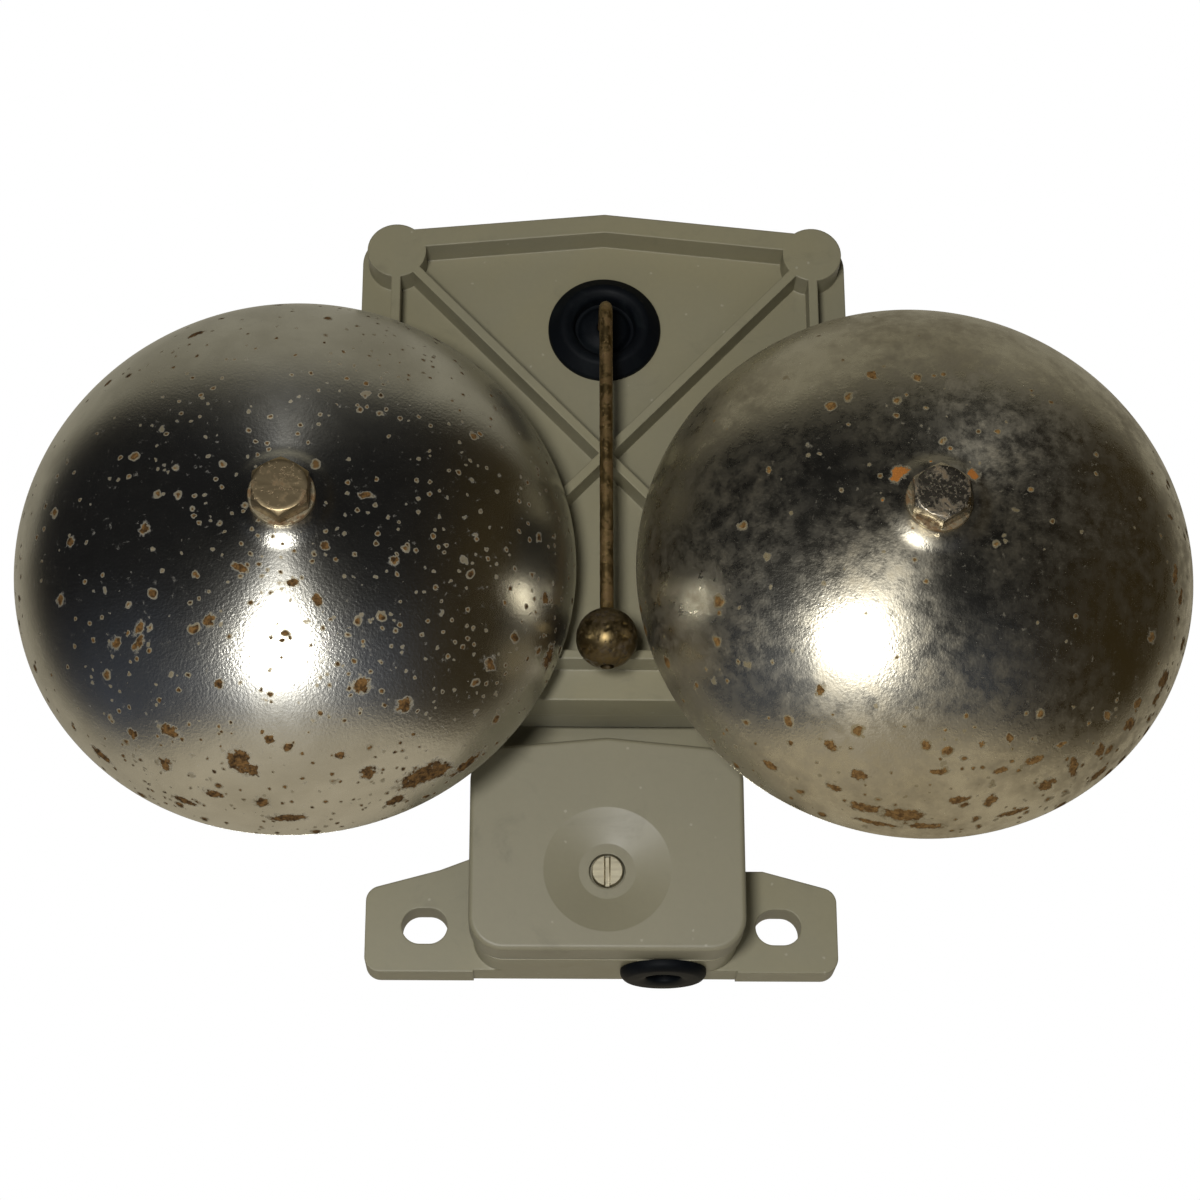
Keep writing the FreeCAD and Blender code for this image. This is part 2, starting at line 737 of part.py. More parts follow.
def pad_straight_ribs(body):
    """Raise the two upright ribs and the level rib between the lower bosses."""
    half = "rib_width / 2"
    for side in SIDES:
        left = "%d * boss_spread - %s" % (side, half)
        right = "%d * boss_spread + %s" % (side, half)
        pad_outline(body, "panel_depth", "rib_rise", [
            (left, "boss_low"), (right, "boss_low"), (right, "boss_high"), (left, "boss_high")])
    pad_outline(body, "panel_depth", "rib_rise", [
        ("-boss_spread", "boss_low - " + half), ("boss_spread", "boss_low - " + half),
        ("boss_spread", "boss_low + " + half), ("-boss_spread", "boss_low + " + half)])


def pad_diagonal_rib(body, side):
    """Raise a rib from an upper boss through the crossing point to the far lower boss."""
    run = "boss_spread"
    fall = "(boss_high - rib_crossing)"
    length = "sqrt(boss_spread * boss_spread + %s * %s)" % (fall, fall)
    along = "(rib_width / 2 * %s / %s)" % (fall, length)
    across = "(rib_width / 2 * %s / %s)" % (run, length)
    high_x, low_x = "%d * boss_spread" % side, "%d * boss_spread" % -side
    low_z = "2 * rib_crossing - boss_high"
    pad_outline(body, "panel_depth", "rib_rise", [
        (high_x + " + " + along, "boss_high - %d * %s" % (side, across)),
        (high_x + " - " + along, "boss_high + %d * %s" % (side, across)),
        (low_x + " - " + along, low_z + " + %d * %s" % (side, across)),
        (low_x + " + " + along, low_z + " - %d * %s" % (side, across))])


def build_lid():
    """Make the terminal lid: a rounded gable cap with a dished screw seat."""
    body = doc.addObject("PartDesign::Body", "LidBody")
    outline = box_corners("0.0", "lid_low", "0.0")
    pad_outline(body, "box_front", "lid_skirt", outline)
    corners = [outline[0], outline[1], outline[2], outline[4]]
    round_edges(body, "lid_corner", stands_at_any(corners))
    round_edges(body, "lid_edge", lambda edge: edge.BoundBox.YMax < -value("lid_depth") + 0.01)
    inner = box_corners("lid_skirt_wall", "lid_low + lid_skirt_wall", "lid_skirt_wall")
    pocket_outline(body, "lid_depth - lid_wall", "lid_skirt - lid_wall", inner)
    seat = box_corners("lid_wall", "lid_low + lid_wall", "lid_wall")
    pocket_outline(body, "box_front + lid_gasket_thickness", "lid_gasket_thickness", seat)
    pad_circles(body, "lid_column_front", "lid_depth - lid_wall - lid_column_front", [LID_SCREW],
                "lid_screw_hole + lid_wall")
    pad_circles(body, "lid_column_front + lid_screw_floor", "lid_screw_floor", [LID_SCREW],
                "dish_radius")
    pocket_circles(body, "lid_land", "lid_screw_sink", [LID_SCREW], "lid_screw_hole")
    pocket_circles(body, "lid_land", "lid_land", [LID_SCREW], "lid_screw_radius + assembly_gap")
    dish = cone("land_radius", "dish_radius", "dish_drop", "box_shift", "lid_land",
                "lid_screw_height")
    return node("terminal_lid", cut(body, dish))


def build_gaskets():
    """Make the gasket between base and cover and the one under the lid."""
    node("housing_gasket", housing_ring("split_depth - gasket_thickness", "gasket_thickness",
                                        "(gasket_margin + fit_gap)",
                                        "(gasket_margin + gasket_width - fit_gap)"))
    body = doc.addObject("PartDesign::Body", "LidGasketBody")
    outer = "(lid_wall + fit_gap)"
    inner = "(lid_wall + lid_gasket_width)"
    pad_outline(body, "box_front", "lid_gasket_thickness",
                box_corners(outer, "lid_low + " + outer, outer))
    pocket_outline(body, "box_front + lid_gasket_thickness", "lid_gasket_thickness",
                   box_corners(inner, "lid_low + " + inner, inner))
    node("lid_gasket", body)


# Gongs and what carries them.

def dome_rise(radius, full_radius, full_rise):
    """Work out a gong's height above its rim at a radius, with the raised flat seat in it."""
    share = max(1 - (radius / full_radius) ** value("gong_crown_power"), 0)
    rise = full_rise * share ** (1 / value("gong_side_power"))
    seat, blend = value("seat_radius"), value("seat_blend_radius")
    turn = min(max((radius - seat) / (blend - seat), 0), 1) * math.pi
    lift = (0.5 + 0.5 * math.cos(turn)) * (full_rise + value("seat_rise") - rise)
    return rise + lift


def dome_curve(full_radius, full_rise, blend_steps, dome_steps):
    """Draw a gong's curve from its seat to its rim: the seat's flank first, then the dome."""
    seat, blend = value("seat_radius"), value("seat_blend_radius")
    start = math.asin(blend / full_radius)
    turns = [start + (math.pi / 2 - start) * step / dome_steps for step in range(dome_steps + 1)]
    radii = [seat + (blend - seat) * step / blend_steps for step in range(blend_steps)]
    radii += [full_radius * math.sin(turn) for turn in turns]
    rises = [dome_rise(radius, full_radius, full_rise) for radius in radii]
    points = [Vector(radius, -(value("gong_rim_depth") + rise), 0)
              for radius, rise in zip(radii, rises)]
    curve = Part.BSplineCurve()
    curve.interpolate(points)
    return curve.toShape(), points[0], points[-1]


def build_gong(label, side):
    """Make one gong: an even-walled dome with a bolt hole."""
    wall = value("gong_wall")
    radius, rise = value("gong_radius"), value("gong_rise")
    outer, outer_seat, outer_rim = dome_curve(radius, rise, 4, 24)
    inner, inner_seat, inner_rim = dome_curve(radius - wall, rise - wall, 4, 24)
    hole = value("bolt_shank_radius + bolt_clearance")
    outer_hole = Vector(hole, outer_seat.y, 0)
    inner_hole = Vector(hole, inner_seat.y, 0)
    edges = [outer, Part.makeLine(outer_rim, inner_rim), inner,
             Part.makeLine(inner_seat, inner_hole), Part.makeLine(inner_hole, outer_hole),
             Part.makeLine(outer_hole, outer_seat)]
    wire = Part.Wire(Part.__sortEdges__(edges))
    solid = Part.Face(wire).revolve(Vector(), Vector(0, 1, 0), 360)
    feature = doc.addObject("Part::Feature", label + "_dome")
    feature.Shape = solid
    return node(label, place(feature, "%d * gong_spread" % side, "0", "gong_height"))


def build_gong_bolt(label, side):
    """Make one hexagon bolt with a chamfered head."""
    x = "%d * gong_spread" % side
    under_head = "gong_seat + washer_thickness"
    flats = hexagon("bolt_across_flats", "bolt_head_rise", x, under_head, "gong_height")
    chamfer = cone("bolt_across_flats / 2 + bolt_head_rise * sqrt(3)", "bolt_across_flats / 2",
                   "bolt_head_rise", x, under_head, "gong_height")
    shank = cylinder("bolt_shank_radius", "bolt_length", x, under_head + " - bolt_length",
                     "gong_height")
    return node(label, joined(common(flats, chamfer), shank))


def build_washers():
    """Make the steel washers outside the gongs and the fibre washers inside."""
    hole = "bolt_shank_radius + bolt_clearance"
    steel, fibre = [], []
    for side in SIDES:
        x = "%d * gong_spread" % side
        steel.append(ring("washer_radius", hole, "washer_thickness", x, "gong_seat", "gong_height"))
        fibre.append(ring("washer_radius", hole, "fibre_washer_thickness", x, "pillar_front",
                          "gong_height"))
    group("gong_washers", steel)
    group("fibre_washers", fibre)


def build_pillar(label, side):
    """Make one gong pillar, riveted to the arm behind and tapped for the bolt in front."""
    x = "%d * gong_spread" % side
    bar = cylinder("pillar_radius", "pillar_front - arm_front", x, "arm_front", "gong_height")
    rivet = cylinder("pillar_radius / 2", "arm_thickness", x, "arm_clearance", "gong_height")
    grip = "bolt_length - washer_thickness - gong_wall - fibre_washer_thickness + bolt_clearance"
    thread = cylinder("bolt_shank_radius + fit_gap", grip, x,
                      "pillar_front - (" + grip + ")", "gong_height")
    return node(label, cut(joined(bar, rivet), thread))


def build_arm():
    """Make the flat steel arm that crosses behind the housing and carries both pillars."""
    reach = "(gong_spread + arm_overhang)"
    strip = block("-" + reach, "2 * " + reach, "arm_clearance", "arm_thickness",
                  "gong_height - arm_width / 2", "arm_width")
    holes = [cylinder("pillar_radius / 2 + fit_gap", "arm_thickness * 2", "%d * gong_spread" % side,
                      "0", "gong_height") for side in SIDES]
    for x, z in ARM_SCREWS:
        holes.append(cylinder("cover_screw_radius + fit_gap", "arm_thickness * 2", x, "0", z))
        holes.append(cone("2 * cover_screw_radius + fit_gap", "cover_screw_radius + fit_gap",
                          "cover_screw_radius", x, "arm_clearance", z))
    return node("gong_arm", cut(strip, *holes))


# Screws.

def slotted_screw(radius, length, head_radius, head_rise, x, seat, z, from_front=True):
    """Make a cheese-head screw whose head stands on a seat, facing the front or the wall."""
    rise = "(" + head_rise + ")"
    if from_front:
        head_back, shank_back = seat, seat + " - (" + length + ")"
        slot_back = seat + " + " + rise + " / 2"
    else:
        head_back, shank_back = seat + " - " + rise, seat
        slot_back = head_back
    head = cylinder(head_radius, head_rise, x, head_back, z)
    shank = cylinder(radius, length, x, shank_back, z)
    across = "(" + head_radius + ")"
    slot = block(x + " - " + across + " / 6", across + " / 3", slot_back, rise + " / 2",
                 z + " - " + across, "2 * " + across)
    return cut(joined(head, shank), slot)


def build_screws():
    """Make every screw, like ones together."""
    node("terminal_lid_screw", slotted_screw("lid_screw_radius", "lid_screw_length - fit_gap",
                                             "lid_screw_head", "lid_screw_rise", "box_shift",
                                             "lid_screw_seat", "lid_screw_height"))
    cover_length = "split_depth + cover_screw_bite - cover_screw_seat"
    group("cover_screws", [
        slotted_screw("cover_screw_radius", cover_length, "cover_screw_head", "cover_head_rise",
                      x, "cover_screw_seat", z, from_front=False) for x, z in BOSSES])
    group("arm_screws", [build_arm_screw(x, z) for x, z in ARM_SCREWS])
    group("movement_screws", [
        slotted_screw("small_screw_radius", "plate_screw_bite + plate_thickness", "small_screw_head",
                      "small_head_rise", x, "plate_front", z) for x, z in POSTS])
    group("yoke_screws", [
        slotted_screw("small_screw_radius", "plate_thickness + yoke_screw_bite - fit_gap",
                      "small_screw_head", "small_head_rise", "%d * yoke_screw_spread" % side,
                      "plate_back", "yoke_low + yoke_rise / 2", from_front=False) for side in SIDES])


def build_arm_screw(x, z):
    """Make one countersunk screw of the gong arm, flush with its back."""
    head = cone("2 * cover_screw_radius", "cover_screw_radius", "cover_screw_radius", x,
                "arm_clearance", z)
    shank = cylinder("cover_screw_radius", "arm_boss_front - housing_wall - arm_clearance - fit_gap",
                     x, "arm_clearance", z)
    return joined(head, shank)


# Striker: everything that turns.

def build_striker():
    """Make the bent rod, the ball, the armature and its clamping screw."""
    knee = "(rod_depth - rod_bend)"
    shaft = cylinder("rod_radius", knee + " - shaft_tail", "0", "shaft_tail", "shaft_height")
    bend = doc.addObject("Part::Torus", "Bend")
    bend.Angle3 = 90
    bind(bend, Radius1="rod_bend", Radius2="rod_radius")
    to_upright = FreeCAD.Rotation(Vector(0, -1, 0), Vector(0, 0, 1), Vector(-1, 0, 0), "XYZ")
    place(bend, "0", knee, "shaft_height - rod_bend", to_upright)
    hanging = cylinder("rod_radius", "shaft_height - rod_bend - ball_height", "0", "rod_depth",
                       "ball_height", UPRIGHT)
    node("striker_rod", joined(shaft, bend, hanging))
    ball = doc.addObject("Part::Sphere", "Ball")
    bind(ball, Radius="ball_radius")
    place(ball, "0", "rod_depth", "ball_height")
    socket = cylinder("rod_radius + fit_gap / 2", "2 * ball_radius", "0", "rod_depth",
                      "ball_height", UPRIGHT)
    node("striker_ball", cut(ball, socket))
    bar = block("-armature_half_length", "2 * armature_half_length",
                "coil_depth - armature_reach / 2", "armature_reach",
                "shaft_height - armature_thickness / 2", "armature_thickness")
    hub = cylinder("hub_radius", "armature_reach", "0", "coil_depth - armature_reach / 2",
                   "shaft_height")
    bore = cylinder("rod_radius + fit_gap / 2", "2 * armature_reach", "0",
                    "coil_depth - armature_reach", "shaft_height")
    tapping = cylinder("grub_radius + fit_gap", "2 * hub_radius", "0", "coil_depth",
                       "shaft_height", UPRIGHT)
    node("armature", cut(joined(bar, hub), bore, tapping))
    node("armature_screw", cylinder("grub_radius", "hub_radius - rod_radius - fit_gap", "0",
                                    "coil_depth", "shaft_height + rod_radius + fit_gap", UPRIGHT))


# Movement: what drives and carries the striker.

def build_frame():
    """Make the movement plate and the bearing bridge with their bushes and screws."""
    plate = block("-plate_half_width", "2 * plate_half_width", "plate_back", "plate_thickness",
                  "plate_low", "plate_high - plate_low")
    through = "4 * plate_thickness"
    start = "plate_back - plate_thickness"
    holes = [cylinder("small_screw_radius + assembly_gap", through, x, start, z) for x, z in POSTS]
    for side in SIDES:
        holes.append(cylinder("small_screw_radius + assembly_gap", through,
                              "%d * yoke_screw_spread" % side, start, "yoke_low + yoke_rise / 2"))
        holes.append(cylinder("small_screw_radius + fit_gap", through,
                              "%d * bridge_screw_spread" % side, start, "bridge_screw_height"))
    holes.append(cylinder("bush_radius + fit_gap / 2", through, "0", start, "shaft_height"))
    node("movement_plate", cut(plate, *holes))
    width = "2 * bridge_half_width"
    reach = "bridge_leg + bridge_thickness - plate_front"
    shelf = block("-bridge_half_width", width, "plate_front", reach, "bridge_height",
                  "bridge_thickness")
    tab = block("-bridge_half_width", width, "plate_front", "bridge_thickness", "bridge_height",
                "plate_high - bridge_height")
    leg_low = "(shaft_height - bush_flange_radius - bridge_thickness)"
    leg = block("-bridge_half_width", width, "bridge_leg", "bridge_thickness", leg_low,
                "bridge_height + bridge_thickness - " + leg_low)
    eye = cylinder("bush_radius + fit_gap / 2", through, "0", "bridge_leg - bridge_thickness",
                   "shaft_height")
    holes = [cylinder("small_screw_radius + assembly_gap", through,
                      "%d * bridge_screw_spread" % side, "plate_back", "bridge_screw_height")
             for side in SIDES]
    node("bearing_bridge", cut(joined(shelf, tab, leg), eye, *holes))
    group("bridge_screws", [
        slotted_screw("small_screw_radius", "2 * bridge_thickness", "small_screw_head - fit_gap",
                      "small_head_rise", "%d * bridge_screw_spread" % side,
                      "plate_front + bridge_thickness", "bridge_screw_height")
        for side in SIDES])
    build_bush("rear_bush", "plate_back", "plate_front")
    build_bush("front_bush", "bridge_leg", "bridge_leg + bridge_thickness")


def build_bush(label, back, front):
    """Make one flanged bush with a running bore for the shaft."""
    barrel = cylinder("bush_radius", "(" + front + ") - (" + back + ") + 2 * bush_flange", "0",
                      "(" + back + ") - bush_flange", "shaft_height")
    flange = cylinder("bush_flange_radius", "bush_flange", "0", front, "shaft_height")
    bore = cylinder("rod_radius + fit_gap", "6 * bush_flange + bridge_thickness", "0",
                    "(" + back + ") - 2 * bush_flange", "shaft_height")
    return node(label, cut(joined(barrel, flange), bore))


def build_magnets():
    """Make the yoke, cores, coils and permanent magnet."""
    yoke = block("-yoke_half_width", "2 * yoke_half_width", "plate_front", "yoke_reach", "yoke_low",
                 "yoke_rise")
    pole_top = "(shaft_height - armature_thickness / 2 - core_gap)"
    yoke_holes, cores = [], []
    for side in SIDES:
        x = "%d * core_spread" % side
        yoke_holes.append(cylinder("core_radius / 2 + fit_gap", "2 * yoke_rise", x, "coil_depth",
                                   "yoke_low - yoke_rise / 2", UPRIGHT))
        yoke_holes.append(cylinder("small_screw_radius + fit_gap", "yoke_screw_bite",
                                   "%d * yoke_screw_spread" % side, "plate_front",
                                   "yoke_low + yoke_rise / 2"))
        post = cylinder("core_radius", pole_top + " - yoke_top", x, "coil_depth", "yoke_top", UPRIGHT)
        spigot = cylinder("core_radius / 2", "yoke_rise", x, "coil_depth", "yoke_low", UPRIGHT)
        cores.append(joined(post, spigot))
        build_coil("left" if side < 0 else "right", x)
    node("yoke", cut(yoke, *yoke_holes))
    group("coil_cores", cores)
    node("bias_magnet", block("-magnet_half_width", "2 * magnet_half_width",
                              "coil_depth - magnet_reach / 2", "magnet_reach", "yoke_top",
                              "magnet_rise"))


def build_coil(hand, x):
    """Make one bobbin and its winding."""
    tube = "(core_radius + fit_gap + bobbin_tube_wall)"
    upper = "yoke_top + bobbin_height - bobbin_flange"
    spool = joined(cylinder(tube, "bobbin_height", x, "coil_depth", "yoke_top", UPRIGHT),
                   cylinder("bobbin_radius", "bobbin_flange", x, "coil_depth", "yoke_top", UPRIGHT),
                   cylinder("bobbin_radius", "bobbin_flange", x, "coil_depth", upper, UPRIGHT))
    bore = cylinder("core_radius + fit_gap", "bobbin_height", x, "coil_depth", "yoke_top", UPRIGHT)
    node(hand + "_bobbin", cut(spool, bore))
    node(hand + "_winding", ring("bobbin_radius - winding_margin", tube + " + fit_gap",
                                 "bobbin_height - 2 * (bobbin_flange + fit_gap)", x, "coil_depth",
                                 "yoke_top + bobbin_flange + fit_gap", UPRIGHT))


# Rubber pieces.

def build_seals():
    """Make the front grommet round the shaft and the cable grommet in the box's floor."""
    back = "panel_depth - housing_wall"
    turned("shaft_grommet", [
        ("rod_radius + fit_gap", back), ("rod_radius + fit_gap", "panel_depth + seal_hub_rise"),
        ("seal_hub_radius", "panel_depth + seal_hub_rise"), ("seal_hub_radius", "panel_depth"),
        ("seal_well_radius", "panel_depth"), ("seal_well_radius", "panel_depth + seal_rise * 0.8"),
        ("seal_crest_radius", "panel_depth + seal_rise"),
        ("seal_radius", "panel_depth + seal_rise * 0.4"), ("seal_radius", "panel_depth"),
        ("seal_neck_radius", "panel_depth"), ("seal_neck_radius", back),
        ("seal_back_radius", back), ("seal_back_radius", back + " - seal_back_thickness"),
        ("seal_well_radius", back + " - seal_back_thickness"), ("seal_well_radius", back)],
        "0", "shaft_height")
    x = "box_shift + entry_offset"
    flange = cylinder("entry_flange_radius", "entry_flange_thickness", x, "entry_depth",
                      "box_low - entry_flange_thickness", UPRIGHT)
    neck = cylinder("entry_neck_radius", "box_wall", x, "entry_depth", "box_low", UPRIGHT)
    lip = cylinder("entry_lip_radius", "box_wall / 2", x, "entry_depth", "box_low + box_wall",
                   UPRIGHT)
    bore = cylinder("entry_bore_radius", "4 * box_wall", x, "entry_depth",
                    "box_low - 2 * box_wall", UPRIGHT)
    node("cable_grommet", cut(joined(flange, neck, lip), bore))


# Terminals and leads.

def build_terminals():
    """Make the terminal block with its brass tubes and screws."""
    x_middle, z_middle = BLOCK_SCREW
    front = "(back_wall + block_rise)"
    centre = "(back_wall + block_rise / 2)"
    housing = block("box_shift - block_half_width", "2 * block_half_width", "back_wall",
                    "block_rise", "block_low", "block_height")
    holes = [cylinder("small_screw_radius + assembly_gap", "2 * block_rise", x_middle, "0", z_middle)]
    tubes, screws = [], []
    for side in SIDES:
        x = "box_shift + %d * terminal_spread" % side
        tube_low = "block_low - terminal_overhang"
        tube_length = "block_height + 2 * terminal_overhang"
        holes.append(cylinder("terminal_radius + fit_gap", "2 * block_height", x, centre,
                              "block_low - block_height / 2", UPRIGHT))
        holes.append(cylinder("small_screw_radius + fit_gap", "block_rise", x, centre, z_middle))
        tubes.append(cut(cylinder("terminal_radius", tube_length, x, centre, tube_low, UPRIGHT),
                         cylinder("terminal_bore", tube_length, x, centre, tube_low, UPRIGHT),
                         cylinder("small_screw_radius + fit_gap", "block_rise", x, centre, z_middle)))
        screws.append(slotted_screw("small_screw_radius", "block_rise / 2 - fit_gap",
                                    "small_screw_head", "small_head_rise", x, front, z_middle))
    node("terminal_block", cut(housing, *holes))
    group("terminals", tubes)
    group("terminal_screws", screws)
    node("terminal_block_screw", slotted_screw(
        "small_screw_radius", "block_rise + block_screw_bite", "small_screw_head",
        "small_head_rise", x_middle, front, z_middle))


def tube_along(points, radius):
    """Sweep a round tube along straight runs joined by tangent arcs."""
    edges = []
    start = points[0]
    for before, corner, after in zip(points, points[1:], points[2:]):
        to_corner = (corner - before).normalize()
        onward = (after - corner).normalize()
        turn = to_corner.getAngle(onward)
        reach = 0.45 * min((corner - before).Length, (after - corner).Length)
        bend_radius = reach / math.tan(turn / 2)
        arc_start, arc_end = corner - to_corner * reach, corner + onward * reach
        inward = (onward - to_corner).normalize()
        middle = corner + inward * (bend_radius / math.cos(turn / 2) - bend_radius)
        edges.append(Part.makeLine(start, arc_start))
        edges.append(Part.Arc(arc_start, middle, arc_end).toShape())
        print("lead bend radius %.1f mm" % bend_radius)
        start = arc_end
    edges.append(Part.makeLine(start, points[-1]))
    path = Part.Wire(edges)
    direction = (points[1] - points[0]).normalize()
    profile = Part.Wire(Part.makeCircle(radius, points[0], direction))
    tube = path.makePipeShell([profile], True, False)
    expected = math.pi * radius ** 2 * path.Length
    print("lead volume %.1f of %.1f cubic mm" % (tube.Volume, expected))
    return tube


def build_leads():
    """Make the two leads from the coils down to the terminals."""
    wire_end = "block_low + block_height + terminal_overhang + lead_radius"
    tubes = []
    for side in SIDES:
        route = [
            ("%d * lead_coil_spread" % side, "lead_coil_depth", "yoke_top"),
            ("%d * lead_coil_spread" % side, "lead_coil_depth", "gong_height"),
            ("box_shift + %d * lead_pair_spread" % side, "lead_depth", "body_floor + lead_depth"),
            ("box_shift + %d * lead_pair_spread" % side, "lead_depth", "passage_low"),
            ("box_shift + %d * terminal_spread" % side, "back_wall + block_rise / 2", wire_end),
        ]
        points = [Vector(value(x), -value(depth), value(z)) for x, depth, z in route]
        tubes.append(tube_along(points, value("lead_radius")))
    feature = doc.addObject("Part::Feature", "Leads")
    feature.Shape = Part.makeCompound(tubes)
    return node("coil_leads", feature)


build_base()
build_cover()
build_lid()
build_gaskets()
build_gong("left_gong", -1)
build_gong("right_gong", 1)
build_gong_bolt("left_gong_bolt", -1)
build_gong_bolt("right_gong_bolt", 1)
build_washers()
build_pillar("left_pillar", -1)
build_pillar("right_pillar", 1)
build_arm()
build_striker()
build_frame()
build_magnets()
build_seals()
build_terminals()
build_leads()
build_screws()

doc.recompute()

for thing in doc.Objects:
    state = " ".join(thing.State)
    if "Invalid" in state or "Error" in state:
        raise RuntimeError("%s is %s" % (thing.Name, state))
    if thing.TypeId == "PartDesign::Pocket":
        if thing.Shape.Volume > thing.BaseFeature.Shape.Volume - 0.01:
            raise RuntimeError("%s cuts nothing" % thing.Name)

os.makedirs("parts", exist_ok=True)
for label, thing in nodes.items():
    shape = thing.Shape
    if shape.isNull() or not shape.isValid():
        raise RuntimeError("%s has no valid shape" % label)
    shape.exportStep("parts/%s.step" % label)
    print("%-22s %d solid(s), %9.1f cubic mm" % (label, len(shape.Solids), shape.Volume))
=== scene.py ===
"""Looks of the wall bell: two plated gongs, a ribbed housing, a swinging striker, and their finishes.

Frame: metres, X to the right, Z up, the front faces -Y.  "Depth" is the distance in front of the
wall plane Y = 0, so a point at depth D has Y = -D.
"""

import logging
import math
from dataclasses import dataclass, field
from enum import Enum
from functools import partialmethod
from typing import NamedTuple

import bmesh
import bpy
import numpy as np
from mathutils import Matrix, Vector


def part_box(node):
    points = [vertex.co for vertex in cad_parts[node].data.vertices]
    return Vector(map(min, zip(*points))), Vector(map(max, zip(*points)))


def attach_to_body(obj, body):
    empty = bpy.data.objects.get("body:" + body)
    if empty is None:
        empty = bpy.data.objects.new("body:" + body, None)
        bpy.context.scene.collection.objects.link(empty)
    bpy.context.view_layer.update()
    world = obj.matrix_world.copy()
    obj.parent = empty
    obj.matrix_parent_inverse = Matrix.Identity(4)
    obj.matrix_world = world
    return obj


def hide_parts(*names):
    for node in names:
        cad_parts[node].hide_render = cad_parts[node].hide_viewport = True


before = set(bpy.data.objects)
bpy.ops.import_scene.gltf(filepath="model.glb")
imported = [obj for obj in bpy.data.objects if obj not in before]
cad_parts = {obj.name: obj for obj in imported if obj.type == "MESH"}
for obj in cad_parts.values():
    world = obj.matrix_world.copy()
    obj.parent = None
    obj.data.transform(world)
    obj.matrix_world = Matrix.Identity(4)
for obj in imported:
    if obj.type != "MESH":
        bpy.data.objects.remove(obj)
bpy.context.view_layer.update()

LOG = logging.getLogger("bell")
MM = 0.001

Colour = tuple[float, float, float]
Piece = bpy.types.Object
Material = bpy.types.Material
Socket = bpy.types.NodeSocket
WHITE = (1.0, 1.0, 1.0)


class Side(Enum):
    """Which of the two gongs, by the sign of its X."""

    LEFT = -1
    RIGHT = 1


class Axis(Enum):
    """The line that a turned shape goes round."""

    TO_FRONT = "square to the wall"
    UPRIGHT = "straight up"


# Mesh helpers: points are worked out as whole arrays on a grid of rows and columns.

def grid_faces(rows: int, columns: int, closed_rows: bool) -> np.ndarray:
    """List the four-sided faces of a grid that is closed along its columns.

    Args:
        rows: How many rows of points there are.
        columns: How many points lie in each row, which closes on itself.
        closed_rows: Whether the last row also joins the first.

    Returns:
        One row of four point numbers for each face.
    """
    count = rows if closed_rows else rows - 1
    row, column = np.meshgrid(np.arange(count), np.arange(columns), indexing="ij")
    next_row, next_column = (row + 1) % rows, (column + 1) % columns
    corners = [row * columns + column, row * columns + next_column,
               next_row * columns + next_column, next_row * columns + column]
    return np.stack(corners, axis=-1).reshape(-1, 4)


def piece_from_grid(name: str, points: np.ndarray, closed_rows: bool = True) -> Piece:
    """Make a smooth closed piece from a grid of points; open ends get one flat face each.

    Args:
        name: The piece's name.
        points: An array of rows by columns by three coordinates, in metres.
        closed_rows: Whether the rows close on themselves, as in a ring.

    Returns:
        The new object, with faces that point outwards.
    """
    rows, columns = points.shape[:2]
    faces = grid_faces(rows, columns, closed_rows).tolist()
    if not closed_rows:
        faces.append(list(range(columns)))
        faces.append(list(range((rows - 1) * columns, rows * columns)))
    mesh = bpy.data.meshes.new(name)
    mesh.from_pydata(points.reshape(-1, 3), [], faces)
    work = bmesh.new()
    work.from_mesh(mesh)
    bmesh.ops.recalc_face_normals(work, faces=work.faces)
    work.to_mesh(mesh)
    work.free()
    return finished_piece(name, mesh)


def finished_piece(name: str, mesh: bpy.types.Mesh, sharp_degrees: float = 32.0) -> Piece:
    """Link a mesh as an object, shaded smooth but for its sharp edges.

    Args:
        name: The piece's name.
        mesh: The mesh, whose place is in its points.
        sharp_degrees: The angle between faces past which an edge stays sharp.

    Returns:
        The new object, at the origin.
    """
    mesh.shade_smooth()
    mesh.set_sharp_from_angle(angle=math.radians(sharp_degrees))
    piece = bpy.data.objects.new(name, mesh)
    bpy.context.scene.collection.objects.link(piece)
    return piece


def turned_points(profile: np.ndarray, centre: tuple[float, float], columns: int,
                  axis: Axis = Axis.TO_FRONT) -> np.ndarray:
    """Turn a profile round a line: point = centre + radius * (cos, sin) and a step along the line.

    Args:
        profile: Rows of radius and distance along the line, in metres.
        centre: The line's X and Z if it runs to the front, or its X and depth if it is upright.
        columns: How many points go round.
        axis: Which way the line runs.

    Returns:
        An array of profile rows by columns by three coordinates.
    """
    turn = np.linspace(0, 2 * np.pi, columns, endpoint=False)
    across = centre[0] + profile[:, :1] * np.cos(turn)
    other = profile[:, :1] * np.sin(turn)
    along = np.repeat(profile[:, 1:], columns, axis=1)
    if axis is Axis.TO_FRONT:
        return np.stack([across, -along, centre[1] + other], axis=-1)
    return np.stack([across, -(centre[1] + other), along], axis=-1)


